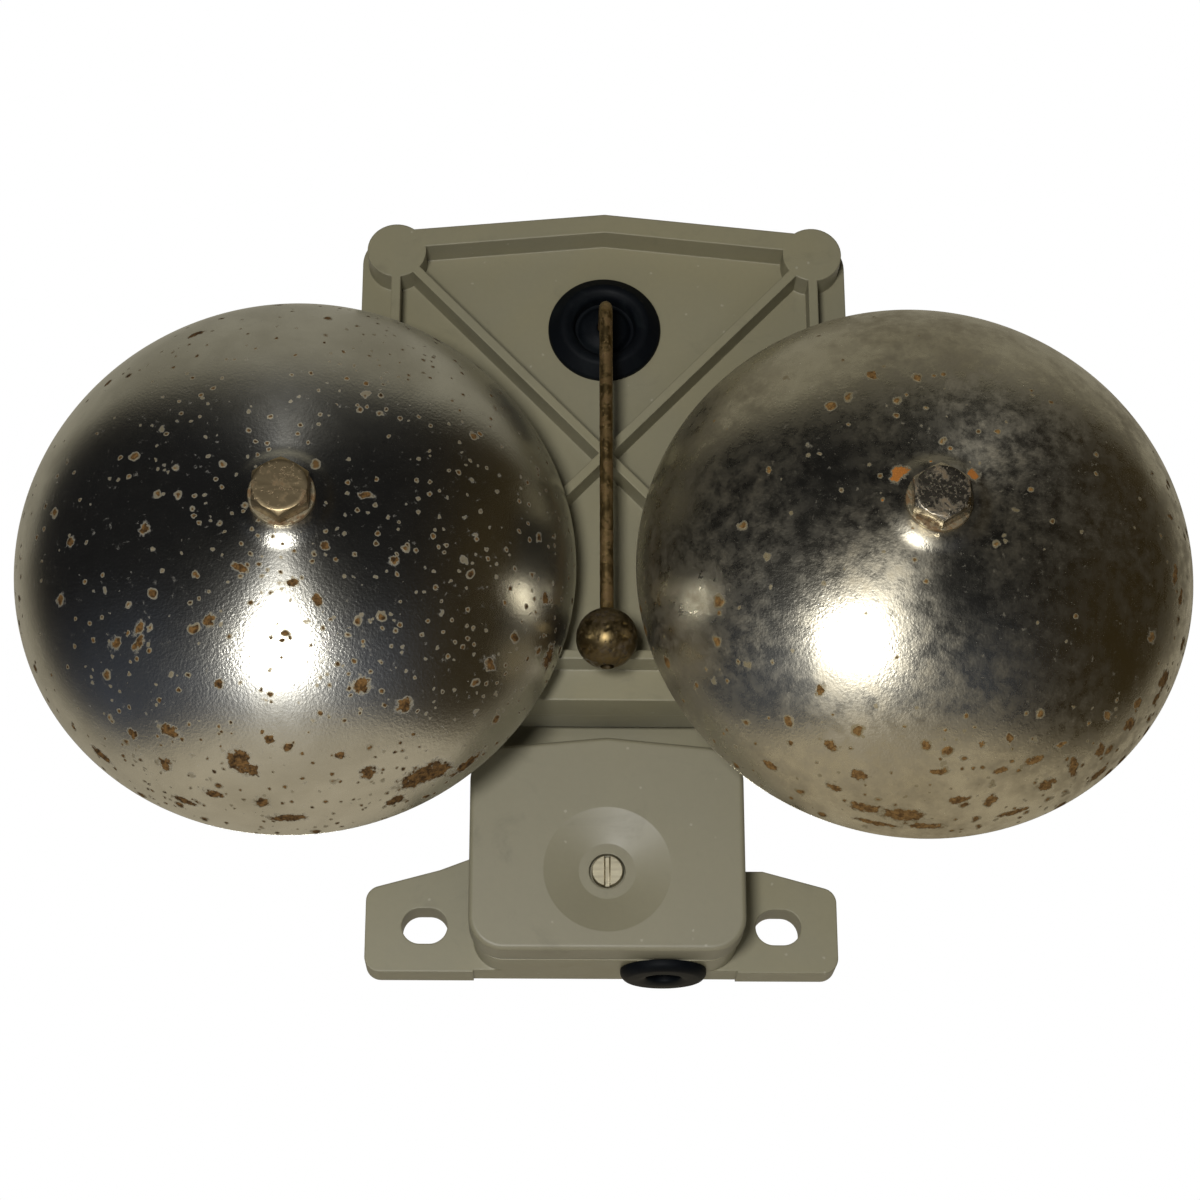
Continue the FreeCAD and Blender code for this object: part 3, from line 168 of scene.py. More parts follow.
def rounded_profile(corners: list[tuple[float, float, float]], steps: int = 5) -> np.ndarray:
    """Round a closed profile's corners: each becomes the quadratic curve between its two sides.

    Args:
        corners: Radius, distance and rounding of each corner, in metres.
        steps: How many points each rounded corner gets, less one.

    Returns:
        Rows of radius and distance along the axis.
    """
    spots = np.array([corner[:2] for corner in corners])
    before = np.roll(spots, 1, axis=0) - spots
    after = np.roll(spots, -1, axis=0) - spots
    lengths = np.linalg.norm(before, axis=1), np.linalg.norm(after, axis=1)
    reach = np.array([corner[2] for corner in corners])
    reach = np.minimum(reach, 0.45 * np.minimum(*lengths))[:, None]
    start = spots + before / lengths[0][:, None] * reach
    end = spots + after / lengths[1][:, None] * reach
    share = np.linspace(0, 1, steps + 1)[None, :, None]
    curve = ((1 - share) ** 2 * start[:, None] + 2 * share * (1 - share) * spots[:, None]
             + share ** 2 * end[:, None])
    return curve.reshape(-1, 2)


def swept_points(line: np.ndarray, radius: np.ndarray, columns: int) -> np.ndarray:
    """Carry a circle along a line that lies in the plane X = 0, square to the line everywhere.

    Args:
        line: Rows of points along the middle, in metres.
        radius: The circle's radius at each of them.
        columns: How many points go round.

    Returns:
        An array of line rows by columns by three coordinates.
    """
    along = np.gradient(line, axis=0)
    along /= np.linalg.norm(along, axis=1)[:, None]
    sideways = np.array([1.0, 0.0, 0.0])
    other = np.cross(along, sideways)
    turn = np.linspace(0, 2 * np.pi, columns, endpoint=False)
    ring = (np.cos(turn)[None, :, None] * sideways
            + np.sin(turn)[None, :, None] * other[:, None])
    return line[:, None] + radius[:, None, None] * ring


def ripple(points: np.ndarray, wave: float, depth: float, seed: int) -> np.ndarray:
    """Push points about as rust and wear do: the mean of sine waves in seeded random directions.

    Args:
        points: An array whose last axis is three coordinates, in metres.
        wave: The longest wave, in metres.
        depth: The largest push, in metres.
        seed: Sets the random directions.

    Returns:
        A push for each point, in metres.
    """
    source = np.random.default_rng(seed)
    total = np.zeros(points.shape[:-1])
    waves = 12
    for number in range(waves):
        direction = source.normal(size=3)
        direction *= 2 * np.pi / (wave * source.uniform(0.3, 1.0) * np.linalg.norm(direction))
        total += np.sin(points @ direction + source.uniform(0, 2 * np.pi))
    return total * depth / waves


def even_normals(mesh: bpy.types.Mesh, sharp_degrees: float) -> None:
    """Set each face corner's normal: the area-weighted mean of the faces there that turn little.

    Args:
        mesh: The mesh, shaded smooth.
        sharp_degrees: The turn past which a neighbouring face is left out.
    """
    faces = mesh.polygons
    normals = np.array([face.normal for face in faces])
    areas = np.array([face.area for face in faces])
    around: list[list[int]] = [[] for _ in mesh.vertices]
    for face in faces:
        for point in face.vertices:
            around[point].append(face.index)
    least = math.cos(math.radians(sharp_degrees))
    corners = np.zeros((len(mesh.loops), 3))
    for face in faces:
        for loop in face.loop_indices:
            near = np.array(around[mesh.loops[loop].vertex_index])
            near = near[normals[near] @ normals[face.index] > least]
            total = (normals[near] * areas[near, None]).sum(axis=0)
            corners[loop] = total / np.linalg.norm(total)
    mesh.normals_split_custom_set(corners)


@dataclass
class CleanCopy:
    """A copy of a CAD node with whole flat faces, whose sharp edges may be rounded a little."""

    node: str
    width: float = 0.0
    segments: int = 2
    sharp_degrees: float = 12.0
    merge: float = 0.002 * MM
    flat_degrees: float = 0.4

    def build(self) -> Piece:
        """Merge a copy of the node's triangles into flat faces, and shade them as flat as they are.

        Returns:
            The new piece, which replaces the node.
        """
        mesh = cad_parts[self.node].data.copy()
        work = bmesh.new()
        work.from_mesh(mesh)
        bmesh.ops.remove_doubles(work, verts=work.verts, dist=self.merge)
        bmesh.ops.dissolve_limit(work, angle_limit=math.radians(self.flat_degrees),
                                 verts=work.verts, edges=work.edges)
        work.to_mesh(mesh)
        work.free()
        mesh.materials.clear()
        piece = finished_piece(self.node + "_finished", mesh, self.sharp_degrees)
        if self.width:
            bevel = piece.modifiers.new("edges", "BEVEL")
            bevel.width = self.width
            bevel.segments = self.segments
            bevel.angle_limit = math.radians(2 * self.sharp_degrees)
        else:
            even_normals(mesh, self.sharp_degrees)
        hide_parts(self.node)
        return piece


# Materials: a short-hand for node trees, and one class for each finish.

class Noise(NamedTuple):
    """Cloudy noise: its waves in each metre, its finer layers and how strong and bent they are."""

    scale: float
    detail: float = 2.0
    roughness: float = 0.5
    distortion: float = 0.0


class Nodes:
    """A node tree, with a short method for each kind of node that is used."""

    def __init__(self, tree: bpy.types.NodeTree) -> None:
        """Start on an emptied tree."""
        self.tree = tree
        tree.nodes.clear()

    def add(self, kind: str, inputs: dict[object, object] | None = None,
            **settings: object) -> bpy.types.Node:
        """Add a node, set its properties and fill its inputs.

        Args:
            kind: The node's type.
            inputs: What goes into each input, by the input's name or number.
            **settings: The properties.

        Returns:
            The node.
        """
        made = self.tree.nodes.new(kind)
        for key, setting in settings.items():
            setattr(made, key, setting)
        for key, source in (inputs or {}).items():
            self.put(made.inputs[key], source)
        return made

    def put(self, target: Socket, source: object) -> None:
        """Link a socket into another, or set it to a plain number or colour.

        Args:
            target: The input to fill.
            source: An output, a number, or a colour of three numbers.
        """
        if isinstance(source, Socket):
            self.tree.links.new(source, target)
        elif isinstance(source, tuple) and target.type == "RGBA":
            target.default_value = (*source, 1.0)
        else:
            target.default_value = source

    def combine(self, operation: str, first: object, *others: object) -> Socket:
        """Work out a sum on one number, or on several from the first to the last."""
        total = first
        for other in others or (0.0,):
            made = self.add("ShaderNodeMath", {0: total, 1: other}, operation=operation)
            total = made.outputs[0]
        return total

    plus = partialmethod(combine, "ADD")
    minus = partialmethod(combine, "SUBTRACT")
    times = partialmethod(combine, "MULTIPLY")
    over = partialmethod(combine, "DIVIDE")
    most = partialmethod(combine, "MAXIMUM")

    def vector(self, operation: str, first: object, second: object) -> Socket:
        """Work out one sum on two rows of three numbers."""
        made = self.add("ShaderNodeVectorMath", {0: first, 1: second}, operation=operation)
        return made.outputs[0]

    def step(self, number: object, low: float, high: float) -> Socket:
        """Ease a number from 0 at low to 1 at high."""
        return self.add("ShaderNodeMapRange", {"Value": number, "From Min": low, "From Max": high},
                        interpolation_type="SMOOTHSTEP").outputs["Result"]

    def between(self, number: object, low: float, high: float) -> Socket:
        """Spread a number from 0 and 1 to two limits."""
        return self.add("ShaderNodeMapRange", {"Value": number, "To Min": low,
                                               "To Max": high}).outputs["Result"]

    def mix(self, share: object, first: object, second: object) -> Socket:
        """Mix two colours.

        Args:
            share: How much of the second is seen, from 0 to 1.
            first: The colour underneath.
            second: The colour on top.

        Returns:
            The mixed colour.
        """
        made = self.add("ShaderNodeMix", {"Factor": share}, data_type="RGBA")
        colours = [socket for socket in made.inputs if socket.type == "RGBA"]
        for socket, source in zip(colours, (first, second)):
            self.put(socket, source)
        return [socket for socket in made.outputs if socket.type == "RGBA"][0]


class Graph(Nodes):
    """A material's node tree, round one principled shader and the piece's own coordinates."""

    def __init__(self, name: str) -> None:
        """Start a material of the given name."""
        self.material = bpy.data.materials.new(name)
        self.material.use_nodes = True
        super().__init__(self.material.node_tree)
        self.shader = self.add("ShaderNodeBsdfPrincipled")
        self.add("ShaderNodeOutputMaterial", {0: self.shader.outputs[0]})
        self.place = self.add("ShaderNodeTexCoord").outputs["Object"]

    def noise(self, kind: Noise, place: object = None) -> Socket:
        """Make noise of one kind, over the piece's own coordinates unless others are given."""
        return self.add("ShaderNodeTexNoise", {
            "Vector": place or self.place, "Scale": kind.scale, "Detail": kind.detail,
            "Roughness": kind.roughness, "Distortion": kind.distortion}).outputs["Fac"]

    def cells(self, scale: float, place: object) -> tuple[object, object]:
        """Scatter points in space, and find the nearest.

        Args:
            scale: Points in each metre.
            place: The coordinates.

        Returns:
            The distance to the nearest point, and the three random numbers that belong to it.
        """
        made = self.add("ShaderNodeTexVoronoi", {"Vector": place, "Scale": scale})
        chances = self.add("ShaderNodeSeparateColor", {0: made.outputs["Color"]})
        return made.outputs["Distance"], chances.outputs

    def warped(self, scale: float, amount: float) -> Socket:
        """Shift the coordinates about by coloured noise, so that what reads them gets ragged.

        Args:
            scale: Waves of the shift in each metre.
            amount: The shift, in metres.

        Returns:
            The shifted coordinates.
        """
        shift = self.add("ShaderNodeTexNoise", {"Vector": self.place, "Scale": scale, "Detail": 3.0})
        centred = self.vector("SUBTRACT", shift.outputs["Color"], (0.5, 0.5, 0.5))
        scaled = self.add("ShaderNodeVectorMath", {0: centred, "Scale": amount}, operation="SCALE")
        return self.vector("ADD", self.place, scaled.outputs[0])

    def bump(self, height: object, distance: float, strength: float = 1.0,
             below: Socket | None = None) -> Socket:
        """Tilt the surface by a height.

        Args:
            height: The height, where 1 is the full distance.
            distance: The full height, in metres.
            strength: The share of the tilt that shows.
            below: Another bump that this one lies on.

        Returns:
            The tilted normal.
        """
        inputs = {"Height": height, "Distance": distance, "Strength": strength}
        if below is not None:
            inputs["Normal"] = below
        return self.add("ShaderNodeBump", inputs).outputs["Normal"]

    def soft_edges(self, radius: float) -> Socket:
        """Round the sharp edges in the shading: the normal is averaged over a radius in metres."""
        return self.add("ShaderNodeBevel", {"Radius": radius}, samples=6).outputs["Normal"]

    def outward(self, centre: Colour) -> Socket:
        """Point away from a line along Y: (x - centre x, 0, z - centre z), made unit long."""
        level = self.vector("MULTIPLY", self.vector("SUBTRACT", self.place, centre),
                            (1.0, 0.0, 1.0))
        return self.vector("NORMALIZE", level, (0.0, 0.0, 0.0))

    def attribute(self, name: str) -> Socket:
        """Read a number that the mesh holds at each point."""
        return self.add("ShaderNodeAttribute", attribute_name=name).outputs["Fac"]

    def finish(self, colour: object, roughness: object, metal: object = 0.0,
               normal: Socket | None = None, gloss: object = 0.5) -> Material:
        """Fill the shader's main sockets.

        Args:
            colour: The base colour.
            roughness: The roughness.
            metal: How metallic the surface is.
            normal: The tilted normal, if any.
            gloss: The specular level.

        Returns:
            The finished material.
        """
        inputs = {"Base Color": colour, "Roughness": roughness, "Metallic": metal,
                  "Specular IOR Level": gloss}
        if normal is not None:
            inputs["Normal"] = normal
        for name, source in inputs.items():
            self.put(self.shader.inputs[name], source)
        return self.material


@dataclass(frozen=True)
class Spots:
    """One size of rust spot: cells scattered in space, of which a share is spotted."""

    scale: float
    share: float
    largest: float
    ragged: float
    warp: float = 2.2
    smallest_share: float = 0.3

    def mask(self, graph: Graph, density: object, grow: float = 0.0) -> Socket:
        """Work out where the spots are: the distance to a cell's point is less than its own radius.

        Args:
            graph: The material.
            density: How many of the cells are spotted here, from 0 to 1.
            grow: Added to each radius, in cells, for a halo round it.

        Returns:
            1 in a spot and 0 outside it.
        """
        place = graph.warped(self.warp * self.scale, self.ragged / self.scale)
        distance, chances = graph.cells(self.scale, place)
        limit = graph.minus(1.0, graph.times(density, self.share))
        chosen = graph.combine("GREATER_THAN", graph.minus(chances[0], limit), 0.0)
        size = graph.between(chances[1], self.smallest_share * self.largest, self.largest)
        reach = graph.times(graph.plus(size, grow), chosen)
        return graph.step(graph.minus(reach, distance), -0.25 * grow - 0.01, 0.03)


@dataclass(frozen=True)
class GongPlate:
    """Bright plating over pressed steel, pitted with rust, with a film of dirt."""

    name: str
    centre: Colour
    metal: Colour = (0.56, 0.55, 0.50)
    film: Colour = (0.13, 0.105, 0.050)
    halo: Colour = (0.140, 0.102, 0.032)
    rust_dark: Colour = (0.026, 0.014, 0.005)
    rust_light: Colour = (0.150, 0.080, 0.026)
    fresh_rust: Colour = (0.110, 0.062, 0.022)
    roughness: float = 0.225
    polish: float = 0.77
    haze: float = 0.10
    medium: Spots = Spots(250.0, 0.60, 0.22, 0.44)
    small: Spots = Spots(560.0, 0.85, 0.22, 0.40)
    edge: Noise = Noise(800.0, 4.0, 0.65)
    edge_swing: float = 1.3
    cloud: Noise = Noise(45.0, 5.0, 0.6, 0.4)
    mottle: Noise = Noise(330.0, 5.0, 0.7)
    rust_tone: Noise = Noise(1100.0, 4.0, 0.7)
    peel: Noise = Noise(1900.0, 2.0, 0.6)
    peel_rise: float = 0.030 * MM
    crust: Noise = Noise(2600.0, 3.0, 0.7)
    crust_rise: float = 0.12 * MM

    def material(self) -> Material:
        """Layer the plating: grain, film, halos and rust.

        Returns:
            The material.
        """
        graph = Graph(self.name)
        density = graph.attribute("spotted")
        ragged = graph.times(graph.minus(graph.noise(self.edge), 0.5), self.edge_swing)
        patch = graph.plus(graph.attribute("rust"), ragged)
        rust = graph.most(graph.step(patch, 0.40, 0.48), self.medium.mask(graph, density),
                          self.small.mask(graph, density))
        halo = graph.most(graph.step(patch, 0.16, 0.44), self.medium.mask(graph, density, 0.07),
                          self.small.mask(graph, density, 0.10))
        cloud = graph.noise(self.cloud)
        dirt = graph.times(graph.step(graph.noise(self.mottle), 0.30, 0.70),
                           graph.step(cloud, 0.25, 0.62), self.haze)
        plate = graph.mix(graph.times(graph.step(cloud, 0.25, 0.75), 0.35), self.metal, self.film)
        filmed = graph.mix(graph.times(dirt, 0.40), plate, self.film)
        ringed = graph.mix(graph.times(halo, 0.75), filmed, self.halo)
        old_rust = graph.mix(graph.step(graph.noise(self.rust_tone), 0.34, 0.66),
                             self.rust_dark, self.rust_light)
        rust_colour = graph.mix(graph.attribute("fresh"), old_rust, self.fresh_rust)
        colour = graph.mix(rust, ringed, rust_colour)
        clean = graph.plus(graph.between(cloud, self.roughness - 0.03, self.roughness + 0.05),
                           graph.times(dirt, 0.24))
        roughness = graph.most(clean, graph.times(halo, 0.46), graph.times(rust, 0.9))
        dull = graph.plus(graph.times(halo, 0.60), graph.times(dirt, 0.04))
        metal = graph.minus(1.0, graph.most(rust, dull))
        peel = graph.bump(graph.noise(self.peel), self.peel_rise)
        crust = graph.bump(graph.times(rust, graph.noise(self.crust)), self.crust_rise, 0.9, peel)
        graph.put(graph.shader.inputs["Anisotropic"], self.polish)
        graph.put(graph.shader.inputs["Tangent"], graph.outward(self.centre))
        return graph.finish(colour, roughness, metal, crust, graph.between(rust, 0.5, 0.12))


@dataclass(frozen=True)
class MouldedPlastic:
    """Satin moulded plastic, dusty and a little stained."""

    name: str
    base: Colour = (0.199, 0.184, 0.120)
    stain: Colour = (0.250, 0.215, 0.105)
    dirt: Colour = (0.070, 0.060, 0.036)
    dust: Colour = (0.42, 0.41, 0.34)
    roughness: float = 0.40
    stain_share: float = 0.30
    edge: float = 0.45 * MM
    broad: Noise = Noise(26.0, 4.0, 0.55, 0.3)
    cloud: Noise = Noise(85.0, 5.0, 0.65, 0.8)
    fine: Noise = Noise(900.0, 4.0, 0.6)
    wave: Noise = Noise(55.0)
    specks: float = 420.0
    speck_limit: float = 0.88
    speck_share: float = 0.35

    def material(self) -> Material:
        """Layer the plastic: broad tone, stains, dirt, dust specks and a fine grain.

        Returns:
            The material.
        """
        graph = Graph(self.name)
        cloud, fine = graph.noise(self.cloud), graph.noise(self.fine)
        stained = graph.times(graph.step(graph.noise(self.broad), 0.3, 0.7), self.stain_share)
        toned = graph.mix(stained, self.base, self.stain)
        soiled = graph.mix(graph.times(graph.step(cloud, 0.56, 0.78), 0.28), toned, self.dirt)
        distance, chances = graph.cells(self.specks, graph.warped(1500.0, 0.6 * MM))
        chosen = graph.combine("GREATER_THAN", chances[0], self.speck_limit)
        dusty = graph.times(chosen, graph.step(distance, 0.16, 0.06), self.speck_share)
        colour = graph.mix(dusty, soiled, self.dust)
        grained = graph.mix(graph.between(fine, 0.0, 0.12), colour, self.dirt)
        roughness = graph.between(cloud, self.roughness - 0.07, self.roughness + 0.12)
        waves = graph.bump(graph.noise(self.wave), 0.10 * MM, 0.35, graph.soft_edges(self.edge))
        return graph.finish(grained, roughness, 0.0, graph.bump(fine, 0.010 * MM, 0.8, waves))


@dataclass(frozen=True)
class Rubber:
    """Dark rubber with a faint bloom."""

    name: str
    base: Colour = (0.0020, 0.0028, 0.0040)
    bloom: Colour = (0.006, 0.008, 0.009)
    roughness: float = 0.52
    cloud: Noise = Noise(160.0, 5.0, 0.65, 0.6)
    fine: Noise = Noise(1800.0, 3.0)

    def material(self) -> Material:
        """Layer the rubber: a cloudy bloom over black, with a fine grain.

        Returns:
            The material.
        """
        graph = Graph(self.name)
        cloud = graph.noise(self.cloud)
        bloomed = graph.times(graph.step(cloud, 0.45, 0.8), 0.8)
        roughness = graph.between(cloud, self.roughness - 0.08, self.roughness + 0.2)
        grain = graph.bump(graph.noise(self.fine), 0.02 * MM, 0.7)
        return graph.finish(graph.mix(bloomed, self.base, self.bloom), roughness, 0.0, grain, 0.09)


@dataclass(frozen=True)
class WornMetal:
    """Metal with stains and pits, from bright to wholly rusted."""

    name: str
    clean: Colour
    stained: Colour
    pit: Colour
    stain_share: float = 0.5
    pit_scale: float = 900.0
    roughness: float = 0.35
    stained_metal: float = 0.8
    relief: float = 0.05
    scratch: Noise = Noise(2600.0)

    def material(self) -> Material:
        """Layer the metal: cloudy stains, then pits with their own relief.

        Returns:
            The material.
        """
        graph = Graph(self.name)
        low = 0.75 - 0.55 * self.stain_share
        stained = graph.step(graph.noise(Noise(0.28 * self.pit_scale, 5.0, 0.68, 0.5)),
                             low, low + 0.16)
        pitted = graph.step(graph.noise(Noise(self.pit_scale, 5.0, 0.7)), 0.56, 0.68)
        skin = graph.mix(stained, self.clean, self.stained)
        colour = graph.mix(graph.times(pitted, 0.85), skin, self.pit)
        roughness = graph.plus(graph.between(stained, self.roughness, self.roughness + 0.22),
                               graph.times(pitted, 0.25))
        metal = graph.minus(graph.between(stained, 1.0, self.stained_metal),
                            graph.times(pitted, 0.5))
        scratch = graph.bump(graph.noise(self.scratch), 0.01 * MM, 0.7)
        normal = graph.bump(graph.minus(1.0, pitted), self.relief * MM, 0.9, scratch)
        return graph.finish(colour, roughness, metal, normal)


@dataclass(frozen=True)
class BrushedMetal:
    """Clean metal with fine lines along one direction."""

    name: str
    base: Colour
    shade: Colour
    roughness: float = 0.3
    along: Colour = (60.0, 900.0, 3500.0)
    lines: Noise = Noise(1.0, 3.0, 0.6)
    cloud: Noise = Noise(300.0, 4.0, 0.6)

    def material(self) -> Material:
        """Stretch noise into lines and let it vary tone, gloss and height.

        Returns:
            The material.
        """
        graph = Graph(self.name)
        stretched = graph.add("ShaderNodeMapping", {"Vector": graph.place, "Scale": self.along})
        lines = graph.noise(self.lines, stretched.outputs[0])
        colour = graph.mix(graph.times(graph.noise(self.cloud), 0.8), self.base, self.shade)
        roughness = graph.between(lines, self.roughness - 0.06, self.roughness + 0.16)
        return graph.finish(colour, roughness, 1.0, graph.bump(lines, 0.006 * MM, 0.8))


@dataclass(frozen=True)
class Covering:
    """A plain coloured covering: enamelled wire, moulded bobbins, fibre or cable skin."""

    name: str
    base: Colour
    shade: Colour
    roughness: float = 0.4
    lines_each_mm: float = 0.0
    cloud: Noise = Noise(400.0, 5.0, 0.6)
    fine: Noise = Noise(2200.0, 3.0)

    def material(self) -> Material:
        """Vary the tone, and ridge it with level turns of wire if it is wound, with painted shade in
        the grooves between turns.

        Returns:
            The material.
        """
        graph = Graph(self.name)
        cloud = graph.noise(self.cloud)
        colour = graph.mix(cloud, self.base, self.shade)
        normal = graph.bump(graph.noise(self.fine), 0.02 * MM, 0.6)
        if self.lines_each_mm:
            height = graph.add("ShaderNodeSeparateXYZ", {0: graph.place}).outputs[2]
            turn = graph.times(height, 2 * math.pi * self.lines_each_mm / MM)
            ridge = graph.between(graph.combine("SINE", turn), 0.25, 0.75)
            # Painted shade: the grooves between the wire's turns are darkened to the shade colour, in
            # step with the bump.
            colour = graph.mix(ridge, self.shade, colour)
            normal = graph.bump(ridge, 0.05 * MM, 0.9, normal)
        roughness = graph.between(cloud, self.roughness, self.roughness + 0.15)
        return graph.finish(colour, roughness, 0.0, normal)


class Finishes:
    """Every finish of the bell, made once and shared."""

    def __init__(self) -> None:
        """Make the materials."""
        self.housing = MouldedPlastic("housing_plastic").material()
        self.lid = MouldedPlastic("lid_plastic", base=(0.198, 0.182, 0.122),
                                  stain=(0.215, 0.193, 0.112), stain_share=0.2,
                                  roughness=0.45, edge=0.30 * MM).material()
        self.gongs = {
            Side.LEFT: GongPlate("left_gong_plate", tuple(middle("left_gong"))).material(),
            Side.RIGHT: GongPlate("right_gong_plate", tuple(middle("right_gong")),
                                  metal=(0.52, 0.49, 0.40), film=(0.150, 0.112, 0.050),
                                  rust_dark=(0.070, 0.036, 0.011), rust_light=(0.195, 0.110, 0.036),
                                  fresh_rust=(0.30, 0.110, 0.022), roughness=0.22, polish=0.60,
                                  haze=1.0, medium=Spots(250.0, 0.55, 0.30, 0.44),
                                  small=Spots(560.0, 0.50, 0.24, 0.36)).material()}
        self.rubber = Rubber("grommet_rubber").material()
        self.bolts = {
            Side.LEFT: WornMetal("brown_bolt", (0.29, 0.225, 0.13), (0.15, 0.095, 0.045),
                                 (0.050, 0.024, 0.010), 0.42, 1100.0, 0.40, 0.55, 0.03).material(),
            Side.RIGHT: WornMetal("pitted_bolt", (0.42, 0.37, 0.28), (0.22, 0.165, 0.10),
                                  (0.060, 0.034, 0.015), 0.45, 1500.0, 0.26, 0.6, 0.09).material()}
        self.washer = WornMetal("rusty_washer", (0.38, 0.33, 0.22), (0.150, 0.088, 0.036),
                                (0.06, 0.028, 0.012), 0.6, 1500.0, 0.40, 0.35, 0.05).material()
        self.rod = WornMetal("tarnished_rod", (0.26, 0.18, 0.075), (0.13, 0.080, 0.030),
                             (0.045, 0.024, 0.009), 0.55, 1100.0, 0.36, 0.6, 0.04).material()
        self.ball = WornMetal("pitted_ball", (0.110, 0.080, 0.036), (0.050, 0.033, 0.013),
                              (0.018, 0.010, 0.004), 0.5, 800.0, 0.38, 0.45, 0.10).material()
        self.screw = BrushedMetal("lid_screw_nickel", (0.72, 0.66, 0.48), (0.48, 0.42, 0.28),
                                  0.32).material()
        self.zinc = BrushedMetal("zinc_plate", (0.56, 0.56, 0.54), (0.42, 0.42, 0.40), 0.36,
                                 (900.0, 900.0, 900.0)).material()
        self.iron = BrushedMetal("soft_iron", (0.36, 0.36, 0.36), (0.26, 0.26, 0.27), 0.42,
                                 (700.0, 700.0, 700.0)).material()
        self.brass = BrushedMetal("turned_brass", (0.62, 0.46, 0.20), (0.46, 0.33, 0.14), 0.3,
                                  (900.0, 900.0, 900.0)).material()
        self.magnet = WornMetal("cast_magnet", (0.16, 0.16, 0.17), (0.11, 0.11, 0.115),
                                (0.05, 0.05, 0.055), 0.4, 1200.0, 0.5, 0.8, 0.03).material()
        self.copper = Covering("enamelled_copper", (0.42, 0.16, 0.07), (0.20, 0.07, 0.03), 0.28,
                               2.5).material()
        self.bobbin = Covering("bobbin_moulding", (0.10, 0.06, 0.035), (0.06, 0.035, 0.02),
                               0.42).material()
        self.fibre = Covering("pressed_fibre", (0.30, 0.10, 0.06), (0.20, 0.07, 0.04),
                              0.6).material()
        self.lead = Covering("lead_skin", (0.30, 0.03, 0.025), (0.22, 0.02, 0.02), 0.35).material()


def dress(piece: Piece, material: Material) -> None:
    """Give a piece one material."""
    if not piece.material_slots:
        piece.data.materials.append(material)
        return
    for place in piece.material_slots:
        place.material = material


def attach(piece: Piece, body: str, material: Material) -> None:
    """Dress a new piece and let it ride on a body.

    Args:
        piece: The piece.
        body: The body that it moves with.
        material: Its material.
    """
    dress(piece, material)
    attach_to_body(piece, body)
    LOG.info("%s: %d points", piece.name, len(piece.data.vertices))


def middle(node: str) -> Vector:
    """Find the middle of a CAD node's box."""
    low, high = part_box(node)
    return (low + high) / 2


# Sub-assemblies.

@dataclass(frozen=True)
class RustPatch:
    """One large rust patch: its place round the gong and its size."""

    degrees: float
    radius: float
    length: float
    width: float


